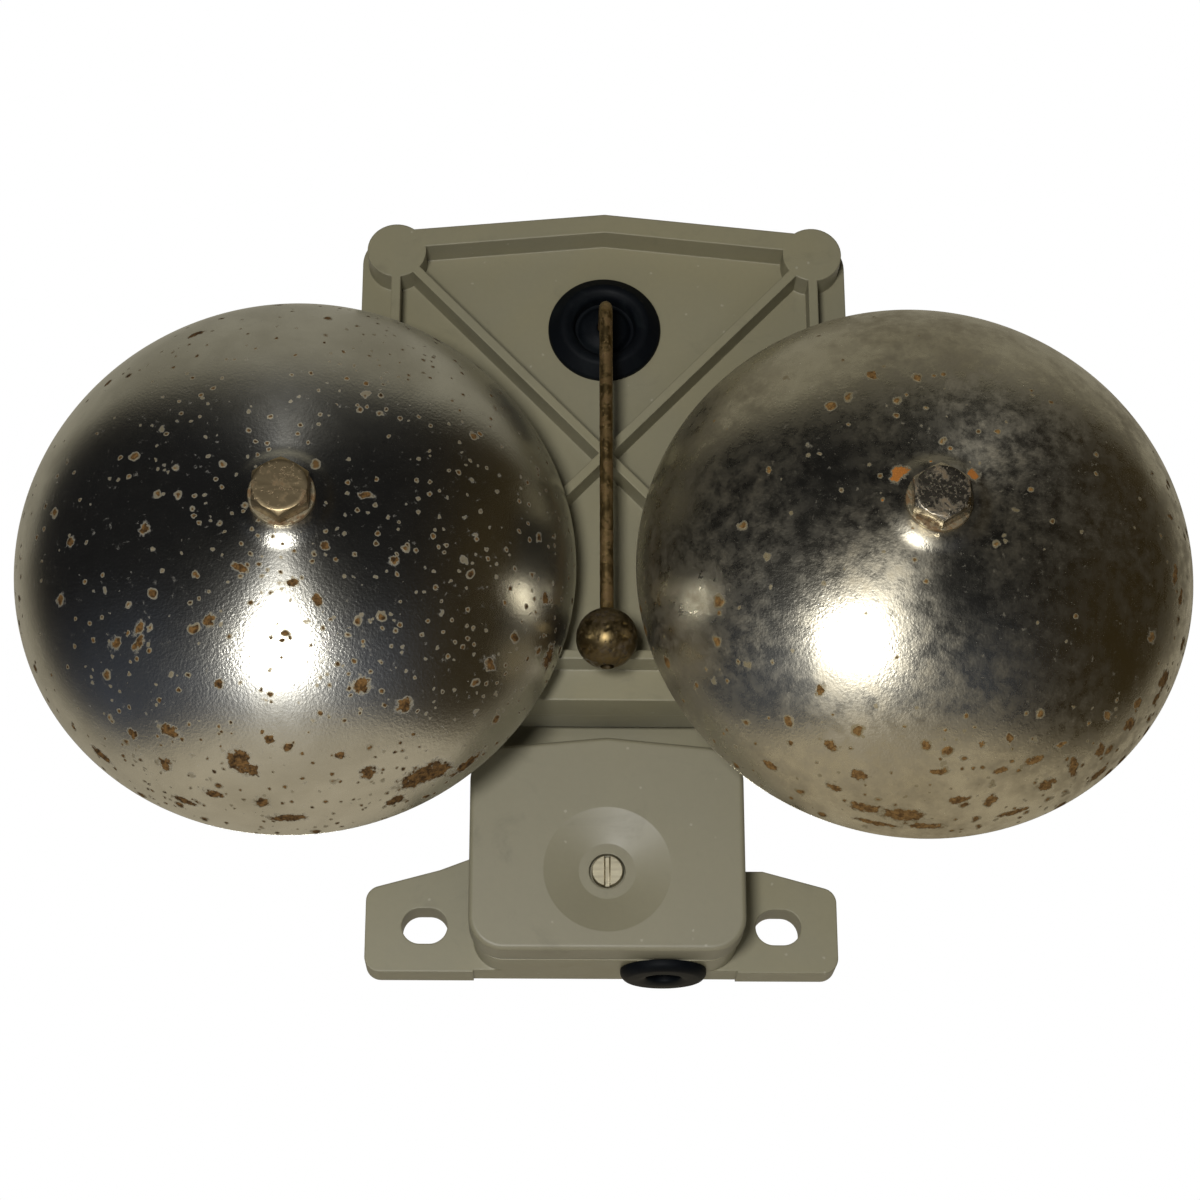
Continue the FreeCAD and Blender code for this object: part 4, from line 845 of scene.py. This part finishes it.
@dataclass
class Gong:
    """One gong: a pressed dome whose rise is h * (1 - (r / R) ** a) ** (1 / b), with a raised seat."""

    side: Side
    patches: list[RustPatch]
    crown_power: float = 3.07
    side_power: float = 1.68
    wall: float = 1.3 * MM
    hole: float = 3.2 * MM
    seat: float = 6.6 * MM
    seat_rise: float = 0.6 * MM
    blend: float = 10.2 * MM
    lip: float = 0.45 * MM
    lip_steps: int = 9
    fresh_within: float = 11.0 * MM
    patch_fall: float = 0.55
    spotted: float = 0.55
    spotted_wave: float = 60.0 * MM
    spotted_least: float = 0.04
    table_steps: int = 800
    rows: int = 150
    columns: int = 300
    radius: float = field(init=False)
    rise: float = field(init=False)
    rim_depth: float = field(init=False)
    centre: tuple[float, float] = field(init=False)

    @property
    def node(self) -> str:
        """Name the CAD node that the gong stands for."""
        return self.side.name.lower() + "_gong"

    def __post_init__(self) -> None:
        """Take the dome's outer sizes from the CAD node's box."""
        low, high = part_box(self.node)
        self.radius = (high.x - low.x) / 2
        self.rim_depth = -high.y
        self.centre = (low.x + high.x) / 2, (low.z + high.z) / 2
        self.rise = high.y - low.y - self.seat_rise

    def dome(self, radius: np.ndarray, inset: float = 0.0) -> np.ndarray:
        """Work out the dome's rise at some radii, lifted to the flat seat by a cosine.

        Args:
            radius: The radii.
            inset: How far inside the outer face the dome lies.

        Returns:
            The rise at each radius.
        """
        full_rise = self.rise - inset
        share = np.clip(1 - (radius / (self.radius - inset)) ** self.crown_power, 0, 1)
        rise = full_rise * share ** (1 / self.side_power)
        turn = np.clip((radius - self.seat) / (self.blend - self.seat), 0, 1) * np.pi
        return rise + (0.5 + 0.5 * np.cos(turn)) * (full_rise + self.seat_rise - rise)

    def curve(self, inset: float) -> np.ndarray:
        """Draw the dome from its hole to its rim, drawn in by an inset.

        Args:
            inset: How far inside the outer face the curve lies.

        Returns:
            Rows of radius and depth, closest together near the rim.
        """
        full_radius = self.radius - inset
        start = math.asin(self.hole / full_radius)
        radius = full_radius * np.sin(np.linspace(start, np.pi / 2, self.rows))
        return np.stack([radius, self.rim_depth + self.dome(radius, inset)], axis=1)

    def build(self) -> Piece:
        """Turn the closed profile: outer face, rounded rim, inner face and hole.

        Returns:
            The gong.
        """
        outer, inner = self.curve(0.0), self.curve(self.wall)[::-1]
        outer[:, 1] = np.maximum(outer[:, 1], self.rim_depth + self.lip)
        inner[:, 1] = np.maximum(inner[:, 1], self.rim_depth + self.lip)
        angle = np.linspace(0, np.pi, self.lip_steps)[1:-1]
        middle_radius = self.radius - self.wall / 2
        lip = np.stack([middle_radius + self.wall / 2 * np.cos(angle),
                        self.rim_depth + self.lip * (1 - np.sin(angle))], axis=1)
        profile = np.concatenate([outer, lip, inner[1:]])
        points = turned_points(profile, self.centre, self.columns)
        piece = piece_from_grid(self.node + "_finished", points)
        self.mark_rust(piece, points.reshape(-1, 3))
        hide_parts(self.node)
        return piece

    def mark_rust(self, piece: Piece, points: np.ndarray) -> None:
        """Store at each point how near a rust patch it is, and how thickly spots lie there.

        A patch falls off in a straight line from 1 at its middle to 0.45 at its edge; its length
        lies round the gong and its width along the radius, both measured over the surface. Spots
        lie thicker towards the rim's lower right, and vary with a slow wave.

        Args:
            piece: The gong.
            points: Its points.
        """
        across = points[:, 0] - self.centre[0]
        up = points[:, 2] - self.centre[1]
        radius = np.hypot(across, up)
        turn = np.degrees(np.arctan2(up, across))
        rise = -points[:, 1] - self.rim_depth
        table = np.linspace(0, self.radius, self.table_steps)
        steps = np.hypot(np.diff(table), np.diff(self.dome(table)))
        gone = np.concatenate([[0], np.cumsum(steps)])
        run = np.interp(radius, table, gone)
        nearness = np.zeros(len(points))
        for patch in self.patches:
            patch_run = np.interp(patch.radius * MM, table, gone)
            away = (turn - patch.degrees + 180) % 360 - 180
            round_it = np.radians(away) * radius / (patch.length * MM / 2)
            along_it = (run - patch_run) / (patch.width * MM / 2)
            near = 1 - self.patch_fall * np.hypot(round_it, along_it)
            nearness = np.maximum(nearness, near)
        store(piece, "rust", np.where(rise >= 0, nearness, 0))
        store(piece, "fresh", radius < self.fresh_within)
        wave = ripple(points, self.spotted_wave, 1.0, 5 + self.side.value)
        lean = (0.5 * across - up) / self.radius * (radius / self.radius) ** 2
        spotted = self.spotted + 0.9 * wave + 0.5 * lean
        store(piece, "spotted", np.clip(spotted, self.spotted_least, 1.0))


def store(piece: Piece, name: str, numbers: np.ndarray) -> None:
    """Keep a number at each point of a piece."""
    layer = piece.data.attributes.new(name, "FLOAT", "POINT")
    layer.data.foreach_set("value", numbers.astype(np.float32))


@dataclass
class GongBolt:
    """One hexagon bolt's head and shank, with a chamfered, worn crown."""

    side: Side
    chamfer_angle: float = math.radians(38)
    worn: float = 0.10 * MM
    shank: float = 3.0 * MM
    flats_share: float = 0.995
    crown_share: float = 0.975
    columns: int = 120

    @property
    def node(self) -> str:
        """Name the CAD node that the bolt stands for."""
        return self.side.name.lower() + "_gong_bolt"

    def build(self) -> Piece:
        """Stack rings from the shank's end to the crown; the head's are six-sided.

        A six-sided ring's radius is half the width across flats over the cosine of the angle from
        the middle of the nearest flat, and the chamfer is a cone that cuts the corners off.

        Returns:
            The bolt.
        """
        low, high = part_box(self.node)
        flats, top = (high.x - low.x) / 2, -low.y
        seat = -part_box("gong_washers")[0].y
        turn = np.linspace(0, 2 * np.pi, self.columns, endpoint=False)
        off_flat = (turn + np.pi / 6) % (np.pi / 3) - np.pi / 6
        hexagon = flats / np.cos(off_flat) * self.flats_share
        crown = self.crown_share * flats
        drop = (hexagon - crown) * math.tan(self.chamfer_angle)
        rings = [(0.02 * self.shank, -high.y), (0.9 * self.shank, -high.y),
                 (self.shank, -high.y + 0.3 * MM), (self.shank, seat),
                 (0.985 * hexagon, seat + 0.02 * MM), (hexagon, seat + 0.2 * MM),
                 (hexagon, top - drop - 0.25 * MM), (0.99 * hexagon, top - drop - 0.02 * MM),
                 (1.01 * crown, top - 0.06 * MM)]
        rings += [(share * crown, top) for share in (0.97, 0.85, 0.65, 0.4, 0.15, 0.01)]
        centre = middle(self.node)
        points = np.stack([np.stack([centre.x + ring * np.cos(turn), 0 * turn - depth,
                                     centre.z + ring * np.sin(turn)], axis=-1)
                           for ring, depth in rings])
        push = ripple(points, 2.2 * MM, self.worn, 40 + self.side.value) - self.worn / 3
        face = (points[..., 1] < -seat - 0.1 * MM)[..., None]
        points = points - face * np.array([0, 1.0, 0]) * np.minimum(push, 0)[..., None]
        piece = piece_from_grid(self.node + "_finished", points, closed_rows=False)
        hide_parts(self.node)
        return piece


@dataclass
class GongPair:
    """Both gongs with their bolts and washers."""

    spotted: dict[Side, float] = field(default_factory=lambda: {Side.LEFT: 0.55, Side.RIGHT: 0.20})
    bolt_wear: dict[Side, float] = field(default_factory=lambda: {Side.LEFT: 0.03 * MM,
                                                                  Side.RIGHT: 0.09 * MM})
    washer_edge: float = 0.18 * MM
    patches: dict[Side, list[RustPatch]] = field(default_factory=lambda: {
        side: [RustPatch(*numbers) for numbers in table] for side, table in ((Side.LEFT, (
            (294, 35.8, 2.6, 2.8), (261, 44.7, 3.6, 4.4), (264, 45.8, 2.2, 2.4), (256, 49.5, 3.4, 1.6),
            (271, 51.2, 6.0, 2.0), (266, 49.6, 2.4, 2.2), (289, 47.6, 2.4, 2.8), (284, 44.5, 1.8, 1.5),
            (299, 50.3, 7.5, 4.0), (303, 50.9, 5.0, 2.6), (293, 51.5, 3.0, 2.0), (302, 41.3, 2.6, 2.2),
            (268, 41.5, 1.6, 1.4), (309, 51.8, 6.0, 2.2), (337, 51.4, 4.0, 3.0), (346, 48.0, 1.8, 2.2),
            (244, 43.7, 3.4, 2.0), (236, 46.6, 1.6, 1.8), (245, 48.1, 1.8, 3.0), (230, 51.4, 4.0, 2.0),
            (250, 51.2, 4.0, 1.4), (223, 33.5, 1.4, 2.4), (226, 35.3, 1.4, 3.0), (221, 38.0, 1.5, 2.4),
            (242, 25.4, 1.6, 2.2), (243, 15.0, 2.6, 1.4), (290, 20.2, 1.6, 2.2), (278, 16.2, 2.2, 1.2),
            (253, 34.5, 1.5, 1.6), (193, 24.7, 1.8, 1.6), (3, 14.6, 1.2, 2.2), (331, 23.0, 1.6, 1.6),
            (116, 41.5, 3.0, 1.4), (188, 38.5, 1.6, 1.4), (201, 42.6, 1.4, 2.0), (95, 47.0, 2.0, 1.2),
            (140, 45.0, 1.6, 1.4), (310, 12.0, 1.4, 1.4), (325, 45.0, 1.6, 2.4))), (Side.RIGHT, (
            (264, 50.7, 7.0, 3.2), (256, 50.6, 5.0, 2.0), (253, 47.2, 2.8, 2.2), (245, 44.9, 2.2, 1.8),
            (270, 45.3, 3.0, 1.2), (282, 49.4, 2.4, 2.2), (292, 46.1, 3.4, 1.6), (294, 49.7, 3.0, 2.6),
            (301, 49.2, 1.8, 5.0), (308, 49.4, 2.0, 3.0), (317, 49.5, 2.4, 3.4), (330, 50.0, 3.4, 3.6),
            (347, 47.7, 3.2, 1.4), (351, 45.7, 4.0, 1.8), (237, 38.9, 1.2, 2.2), (287, 42.0, 1.2, 2.4),
            (275, 48.9, 3.0, 1.6), (284, 46.0, 2.4, 1.2), (269, 51.6, 6.0, 1.6), (235, 50.5, 2.6, 1.8),
            (249, 49.5, 2.8, 1.4), (307, 51.8, 4.0, 2.0), (299, 45.7, 2.0, 1.2), (333, 44.2, 1.6, 2.2),
            (5, 45.1, 1.4, 2.4), (141, 8.8, 3.4, 2.0), (40, 8.4, 2.4, 1.8), (280, 42.0, 1.4, 1.2),
            (326, 50.5, 3.0, 1.8), (259, 51.8, 7.0, 1.2), (312, 46.0, 1.4, 2.0), (340, 50.8, 2.6, 2.0),
            (287, 51.4, 5.0, 1.4))))})

    def build(self, finishes: Finishes) -> None:
        """Make and dress both gongs and what fastens them."""
        for side in Side:
            gong = Gong(side, self.patches[side], spotted=self.spotted[side])
            attach(gong.build(), "housing", finishes.gongs[side])
            bolt = GongBolt(side, worn=self.bolt_wear[side])
            attach(bolt.build(), "housing", finishes.bolts[side])
        washers = CleanCopy("gong_washers", width=self.washer_edge).build()
        attach(washers, "housing", finishes.washer)
        for node in ("left_pillar", "right_pillar", "gong_arm", "arm_screws"):
            dress(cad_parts[node], finishes.zinc)
        dress(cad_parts["fibre_washers"], finishes.fibre)


@dataclass
class Housing:
    """The rear moulding, the front cover, the terminal lid and their seals and screws."""

    screw_edge: float = 0.15 * MM

    def build(self, finishes: Finishes) -> None:
        """Dress the mouldings and what closes them."""
        attach(CleanCopy("base_housing").build(), "housing", finishes.housing)
        attach(CleanCopy("front_cover").build(), "housing", finishes.housing)
        attach(CleanCopy("terminal_lid").build(), "housing", finishes.lid)
        attach(CleanCopy("terminal_lid_screw", width=self.screw_edge).build(), "housing",
               finishes.screw)
        for node in ("housing_gasket", "lid_gasket"):
            dress(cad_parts[node], finishes.rubber)
        dress(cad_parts["cover_screws"], finishes.zinc)


@dataclass
class FrontGrommet:
    """The rubber ring round the shaft: a round rolled rim, a sunk well and a hub on the rod."""

    columns: int = 160
    bore: float = 1.36 * MM
    hub: float = 5.2 * MM
    hub_rise: float = 2.0 * MM
    well: float = 5.9 * MM
    crest: float = 8.6 * MM
    neck: float = 8.4 * MM
    back: float = 9.8 * MM
    rib_rise: float = 6.0 * MM
    cover_wall: float = 2.5 * MM

    def build(self, finishes: Finishes) -> None:
        """Turn the ring's rounded profile about the shaft."""
        low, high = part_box("shaft_grommet")
        outer, front, rear = (high.x - low.x) / 2, -low.y, -high.y
        panel = -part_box("front_cover")[0].y - self.rib_rise
        inner = panel - self.cover_wall
        spot = middle("shaft_grommet")
        corners = [(self.bore, inner, 0.2 * MM), (self.bore, panel + self.hub_rise, 0.5 * MM),
                   (self.bore + 1.2 * MM, panel + self.hub_rise - 0.1 * MM, 0.5 * MM),
                   (self.hub - 0.7 * MM, panel + self.hub_rise * 0.55, 0.8 * MM),
                   (self.hub, panel, 0.2 * MM), (self.well, panel, 0.2 * MM),
                   (self.well + 0.2 * MM, front - 0.9 * MM, 0.8 * MM),
                   (self.crest - 1.2 * MM, front, 0.9 * MM), (self.crest, front, 0.9 * MM),
                   (outer, panel + 1.1 * MM, 1.1 * MM), (outer, panel, 0.3 * MM),
                   (self.neck, panel, 0.1 * MM), (self.neck, inner, 0.1 * MM),
                   (self.back, inner, 0.2 * MM), (self.back, rear, 0.4 * MM),
                   (self.well, rear, 0.4 * MM), (self.well, inner, 0.2 * MM)]
        profile = rounded_profile(corners, 6)
        piece = piece_from_grid("shaft_grommet_finished",
                                turned_points(profile, (spot.x, spot.z), self.columns))
        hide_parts("shaft_grommet")
        attach(piece, "housing", finishes.rubber)


@dataclass
class CableGrommet:
    """The rubber bush in the floor of the terminal box, with a rounded flange below."""

    columns: int = 120
    bore: float = 3.3 * MM
    neck: float = 4.7 * MM
    lip: float = 5.2 * MM
    flange_rise: float = 2.2 * MM
    lip_rise: float = 1.2 * MM

    def build(self, finishes: Finishes) -> None:
        """Turn the bush's rounded profile about its upright axis."""
        low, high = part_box("cable_grommet")
        spot = middle("cable_grommet")
        flange, under, top = (high.x - low.x) / 2, low.z, high.z
        seat, catch = under + self.flange_rise, top - self.lip_rise
        corners = [(self.bore, top, 0.3 * MM), (self.bore, under + 0.4 * MM, 0.6 * MM),
                   (self.bore + 1.2 * MM, under, 0.6 * MM), (flange - 0.9 * MM, under, 0.9 * MM),
                   (flange, under + 1.0 * MM, 0.8 * MM), (flange, seat, 0.3 * MM),
                   (self.neck, seat, 0.1 * MM), (self.neck, catch, 0.1 * MM),
                   (self.lip, catch, 0.2 * MM), (self.lip, top, 0.4 * MM)]
        points = turned_points(rounded_profile(corners), (spot.x, -spot.y), self.columns,
                               Axis.UPRIGHT)
        piece = piece_from_grid("cable_grommet_finished", points)
        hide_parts("cable_grommet")
        attach(piece, "housing", finishes.rubber)


@dataclass
class Striker:
    """The bent rod with its ball, and the armature that swings them."""

    rod_radius: float = 1.3 * MM
    bend: float = 3.5 * MM
    ball_radius: float = 5.75 * MM
    columns: int = 48
    rod_rows: int = 420
    ball_rows: int = 96
    ball_columns: int = 160

    def rod_line(self) -> np.ndarray:
        """Draw the rod's middle: straight out to the front, a quarter bend, then straight down.

        Returns:
            Rows of evenly spaced points.
        """
        low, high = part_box("striker_rod")
        shaft = high.z - self.rod_radius
        depth = -low.y - self.rod_radius
        angle = np.linspace(0, np.pi / 2, 40)
        bend = np.stack([depth - self.bend + self.bend * np.sin(angle),
                         shaft - self.bend + self.bend * np.cos(angle)], axis=1)
        route = np.concatenate([[[-high.y, shaft]], bend, [[depth, low.z]]])
        gone = np.concatenate([[0], np.cumsum(np.linalg.norm(np.diff(route, axis=0), axis=1))])
        even = np.linspace(0, gone[-1], self.rod_rows)
        depths = np.interp(even, gone, route[:, 0])
        heights = np.interp(even, gone, route[:, 1])
        return np.stack([np.zeros_like(depths), -depths, heights], axis=1)

    def build_rod(self) -> Piece:
        """Carry a slightly uneven circle along the rod's middle.

        Returns:
            The rod.
        """
        line = self.rod_line()
        radius = self.rod_radius - np.abs(ripple(line, 5 * MM, 0.10 * MM, 11))
        piece = piece_from_grid("striker_rod_finished", swept_points(line, radius, self.columns),
                                closed_rows=False)
        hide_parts("striker_rod")
        return piece

    def build_ball(self) -> Piece:
        """Make a sphere with a bore for the rod, dented by pits.

        Returns:
            The ball.
        """
        low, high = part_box("striker_ball")
        spot = (low + high) / 2
        bore = self.rod_radius + 0.02 * MM
        start = math.asin(bore / self.ball_radius)
        angle = np.linspace(start, np.pi - start, self.ball_rows)
        sphere = np.stack([self.ball_radius * np.sin(angle),
                           spot.z + self.ball_radius * np.cos(angle)], axis=1)
        heights = np.linspace(sphere[-1, 1], sphere[0, 1], 8)[1:-1]
        inner = np.stack([np.full_like(heights, bore), heights], axis=1)
        points = turned_points(np.concatenate([sphere, inner]), (spot.x, -spot.y),
                               self.ball_columns, Axis.UPRIGHT)
        centre = np.array(spot)
        away = points - centre
        far = np.linalg.norm(away, axis=-1, keepdims=True)
        dents = np.minimum(ripple(points, 4.0 * MM, 0.5 * MM, 21), 0)[..., None]
        on_skin = np.arange(points.shape[0])[:, None, None] < self.ball_rows
        points = points + away / far * dents * on_skin
        piece = piece_from_grid("striker_ball_finished", points)
        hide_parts("striker_ball")
        return piece

    def build(self, finishes: Finishes) -> None:
        """Make and dress the rod and the ball, and dress the armature."""
        attach(self.build_rod(), "striker", finishes.rod)
        attach(self.build_ball(), "striker", finishes.ball)
        dress(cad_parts["armature"], finishes.iron)
        dress(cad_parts["armature_screw"], finishes.zinc)


class Movement:
    """What the housing hides: plate, bearings, coils, magnet, terminals and leads."""

    @staticmethod
    def build(finishes: Finishes) -> None:
        """Dress every hidden node in its own metal, winding or moulding."""
        for material, nodes in (
                (finishes.zinc, ("movement_plate", "bearing_bridge", "bridge_screws", "yoke_screws",
                                 "movement_screws", "terminal_block_screw")),
                (finishes.brass, ("rear_bush", "front_bush", "terminals", "terminal_screws")),
                (finishes.bobbin, ("left_bobbin", "right_bobbin", "terminal_block")),
                (finishes.copper, ("left_winding", "right_winding")),
                (finishes.iron, ("yoke", "coil_cores")),
                (finishes.magnet, ("bias_magnet",)), (finishes.lead, ("coil_leads",))):
            for node in nodes:
                dress(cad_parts[node], material)
                LOG.info("%s: dressed", node)


# Studio: camera, lamps, backdrop and floor.

@dataclass(frozen=True)
class Studio:
    """The camera's place, the lamps and the pale surroundings."""

    camera_place: tuple[float, float, float] = (-13.573 * MM, -514.06 * MM, -129.31 * MM)
    look_up: float = math.radians(21.21)
    look_right: float = math.radians(1.51)
    roll: float = math.radians(-0.11)
    lens: float = 80.9
    sensor: float = 36.0
    lamp_target: tuple[float, float, float] = (0.0, -0.03, 0.06)
    key_place: tuple[float, float, float] = (-0.109, -0.65, -0.12)
    key_radius: float = 0.062
    key_power: float = 3.35
    fill_place: tuple[float, float, float] = (0.35, 1.25, 0.85)
    fill_radius: float = 0.6
    fill_power: float = 9.0
    ambient: float = 0.12
    surround_high: Colour = (0.36, 0.34, 0.27)
    surround_low: Colour = (0.60, 0.53, 0.40)
    dark_room: Colour = (0.010, 0.010, 0.011)
    blue_glow: Colour = (0.060, 0.070, 0.098)
    brown_glow: Colour = (0.040, 0.028, 0.010)
    room_half_turn: float = math.radians(121)
    room_half_rise: float = math.radians(55)
    turn_power: float = 4.0
    rise_power: float = 3.0
    room_edge: tuple[float, float] = (0.72, 1.25)
    blue_rise: tuple[float, float] = (0.15, -0.6)
    brown_side: tuple[float, float] = (0.30, 0.85)
    surround_fade: tuple[float, float] = (-0.8, 0.8)
    floor_height: float = -0.30
    floor_half: float = 3.0

    def build_camera(self) -> None:
        """Aim the camera as the photograph's was: from below, looking up."""
        data = bpy.data.cameras.new("camera")
        data.lens = self.lens
        data.sensor_width = self.sensor
        data.clip_start, data.clip_end = 0.01, 50.0
        camera = bpy.data.objects.new("camera", data)
        bpy.context.scene.collection.objects.link(camera)
        forward = Vector((math.sin(self.look_right) * math.cos(self.look_up),
                          math.cos(self.look_right) * math.cos(self.look_up),
                          math.sin(self.look_up)))
        right = forward.cross(Vector((0, 0, 1))).normalized()
        up = right.cross(forward)
        turned_right = right * math.cos(self.roll) + up * math.sin(self.roll)
        turned_up = up * math.cos(self.roll) - right * math.sin(self.roll)
        turn = Matrix((turned_right, turned_up, -forward)).transposed().to_4x4()
        camera.matrix_world = Matrix.Translation(self.camera_place) @ turn
        bpy.context.scene.camera = camera

    def build_lamp(self, name: str, place: tuple[float, float, float], radius: float,
                   power: float) -> Piece:
        """Hang one soft round lamp that shines on the bell.

        Args:
            name: The lamp's name.
            place: Where it hangs.
            radius: Its radius, in metres.
            power: Its power, in watts.

        Returns:
            The lamp.
        """
        data = bpy.data.lights.new(name, "AREA")
        data.shape = "DISK"
        data.size = 2 * radius
        data.energy = power
        lamp = bpy.data.objects.new(name, data)
        bpy.context.scene.collection.objects.link(lamp)
        spot = Vector(place)
        turn = (Vector(self.lamp_target) - spot).to_track_quat("-Z", "Y")
        lamp.matrix_world = Matrix.Translation(spot) @ turn.to_matrix().to_4x4()
        lamp.visible_camera = False
        return lamp

    def build_world(self) -> None:
        """Surround the bell: white to the camera, pale with a dark room in front to metal.

        The dark room is where (turn / half turn) ** 4 + (rise / half rise) ** 3 is under about 1,
        by the direction's turn from straight ahead of the bell and its rise over the level.
        """
        world = bpy.data.worlds.new("studio")
        bpy.context.scene.world = world
        world.use_nodes = True
        nodes = Nodes(world.node_tree)
        seen = nodes.add("ShaderNodeTexCoord").outputs["Generated"]
        right, back, up = nodes.add("ShaderNodeSeparateXYZ", {0: seen}).outputs
        turn = nodes.combine("ABSOLUTE", nodes.combine("ARCTAN2", right, nodes.times(back, -1.0)))
        rise = nodes.combine("ARCSINE", up)
        turned = nodes.combine("POWER", nodes.over(turn, self.room_half_turn), self.turn_power)
        risen = nodes.combine("POWER", nodes.combine(
            "ABSOLUTE", nodes.over(rise, self.room_half_rise)), self.rise_power)
        outside = nodes.step(nodes.plus(turned, risen), *self.room_edge)
        glow = nodes.mix(nodes.step(rise, *self.blue_rise), self.dark_room, self.blue_glow)
        room = nodes.mix(nodes.step(right, *self.brown_side), glow, self.brown_glow)
        low, high = self.surround_fade
        height = nodes.add("ShaderNodeMapRange", {"Value": up, "From Min": low, "From Max": high})
        surround = nodes.mix(height.outputs["Result"], self.surround_low, self.surround_high)
        path = nodes.add("ShaderNodeLightPath").outputs
        soft, metal, white = (
            nodes.add("ShaderNodeBackground", {"Color": colour, "Strength": strength}).outputs[0]
            for colour, strength in ((WHITE, self.ambient), (nodes.mix(outside, room, surround), 1.0),
                                     (WHITE, 1.0)))
        lit = nodes.add("ShaderNodeMixShader", {0: path["Is Glossy Ray"], 1: soft, 2: metal})
        viewed = nodes.most(path["Is Camera Ray"], path["Is Transmission Ray"])
        whole = nodes.add("ShaderNodeMixShader", {0: viewed, 1: lit.outputs[0], 2: white})
        nodes.add("ShaderNodeOutputWorld", {0: whole.outputs[0]})

    def build_floor(self) -> None:
        """Lay a pale floor below the bell, out of the photograph's view."""
        half = self.floor_half
        corners = [(-half, -half), (half, -half), (half, half), (-half, half)]
        mesh = bpy.data.meshes.new("floor")
        mesh.from_pydata([(x, y, self.floor_height) for x, y in corners], [], [(0, 1, 2, 3)])
        floor = bpy.data.objects.new("floor", mesh)
        bpy.context.scene.collection.objects.link(floor)
        graph = Graph("pale_floor")
        tone = graph.mix(graph.noise(Noise(3.0)), (0.86, 0.86, 0.85), (0.82, 0.82, 0.81))
        dress(floor, graph.finish(tone, 0.7))
        floor.visible_glossy = False

    def build(self) -> None:
        """Set up the camera, the lamps, the surroundings and the floor."""
        self.build_camera()
        self.build_lamp("key", self.key_place, self.key_radius, self.key_power)
        fill = self.build_lamp("fill", self.fill_place, self.fill_radius, self.fill_power)
        fill.visible_glossy = False
        self.build_world()
        self.build_floor()
        bpy.context.scene.view_settings.view_transform = "Standard"
        LOG.info("studio: ready")


def main() -> None:
    """Build the studio and every sub-assembly in order."""
    logging.basicConfig(level=logging.INFO, format="%(name)s %(message)s")
    Studio().build()
    finishes = Finishes()
    GongPair().build(finishes)
    Housing().build(finishes)
    FrontGrommet().build(finishes)
    CableGrommet().build(finishes)
    Striker().build(finishes)
    Movement.build(finishes)


if __name__ == "__main__":
    main()
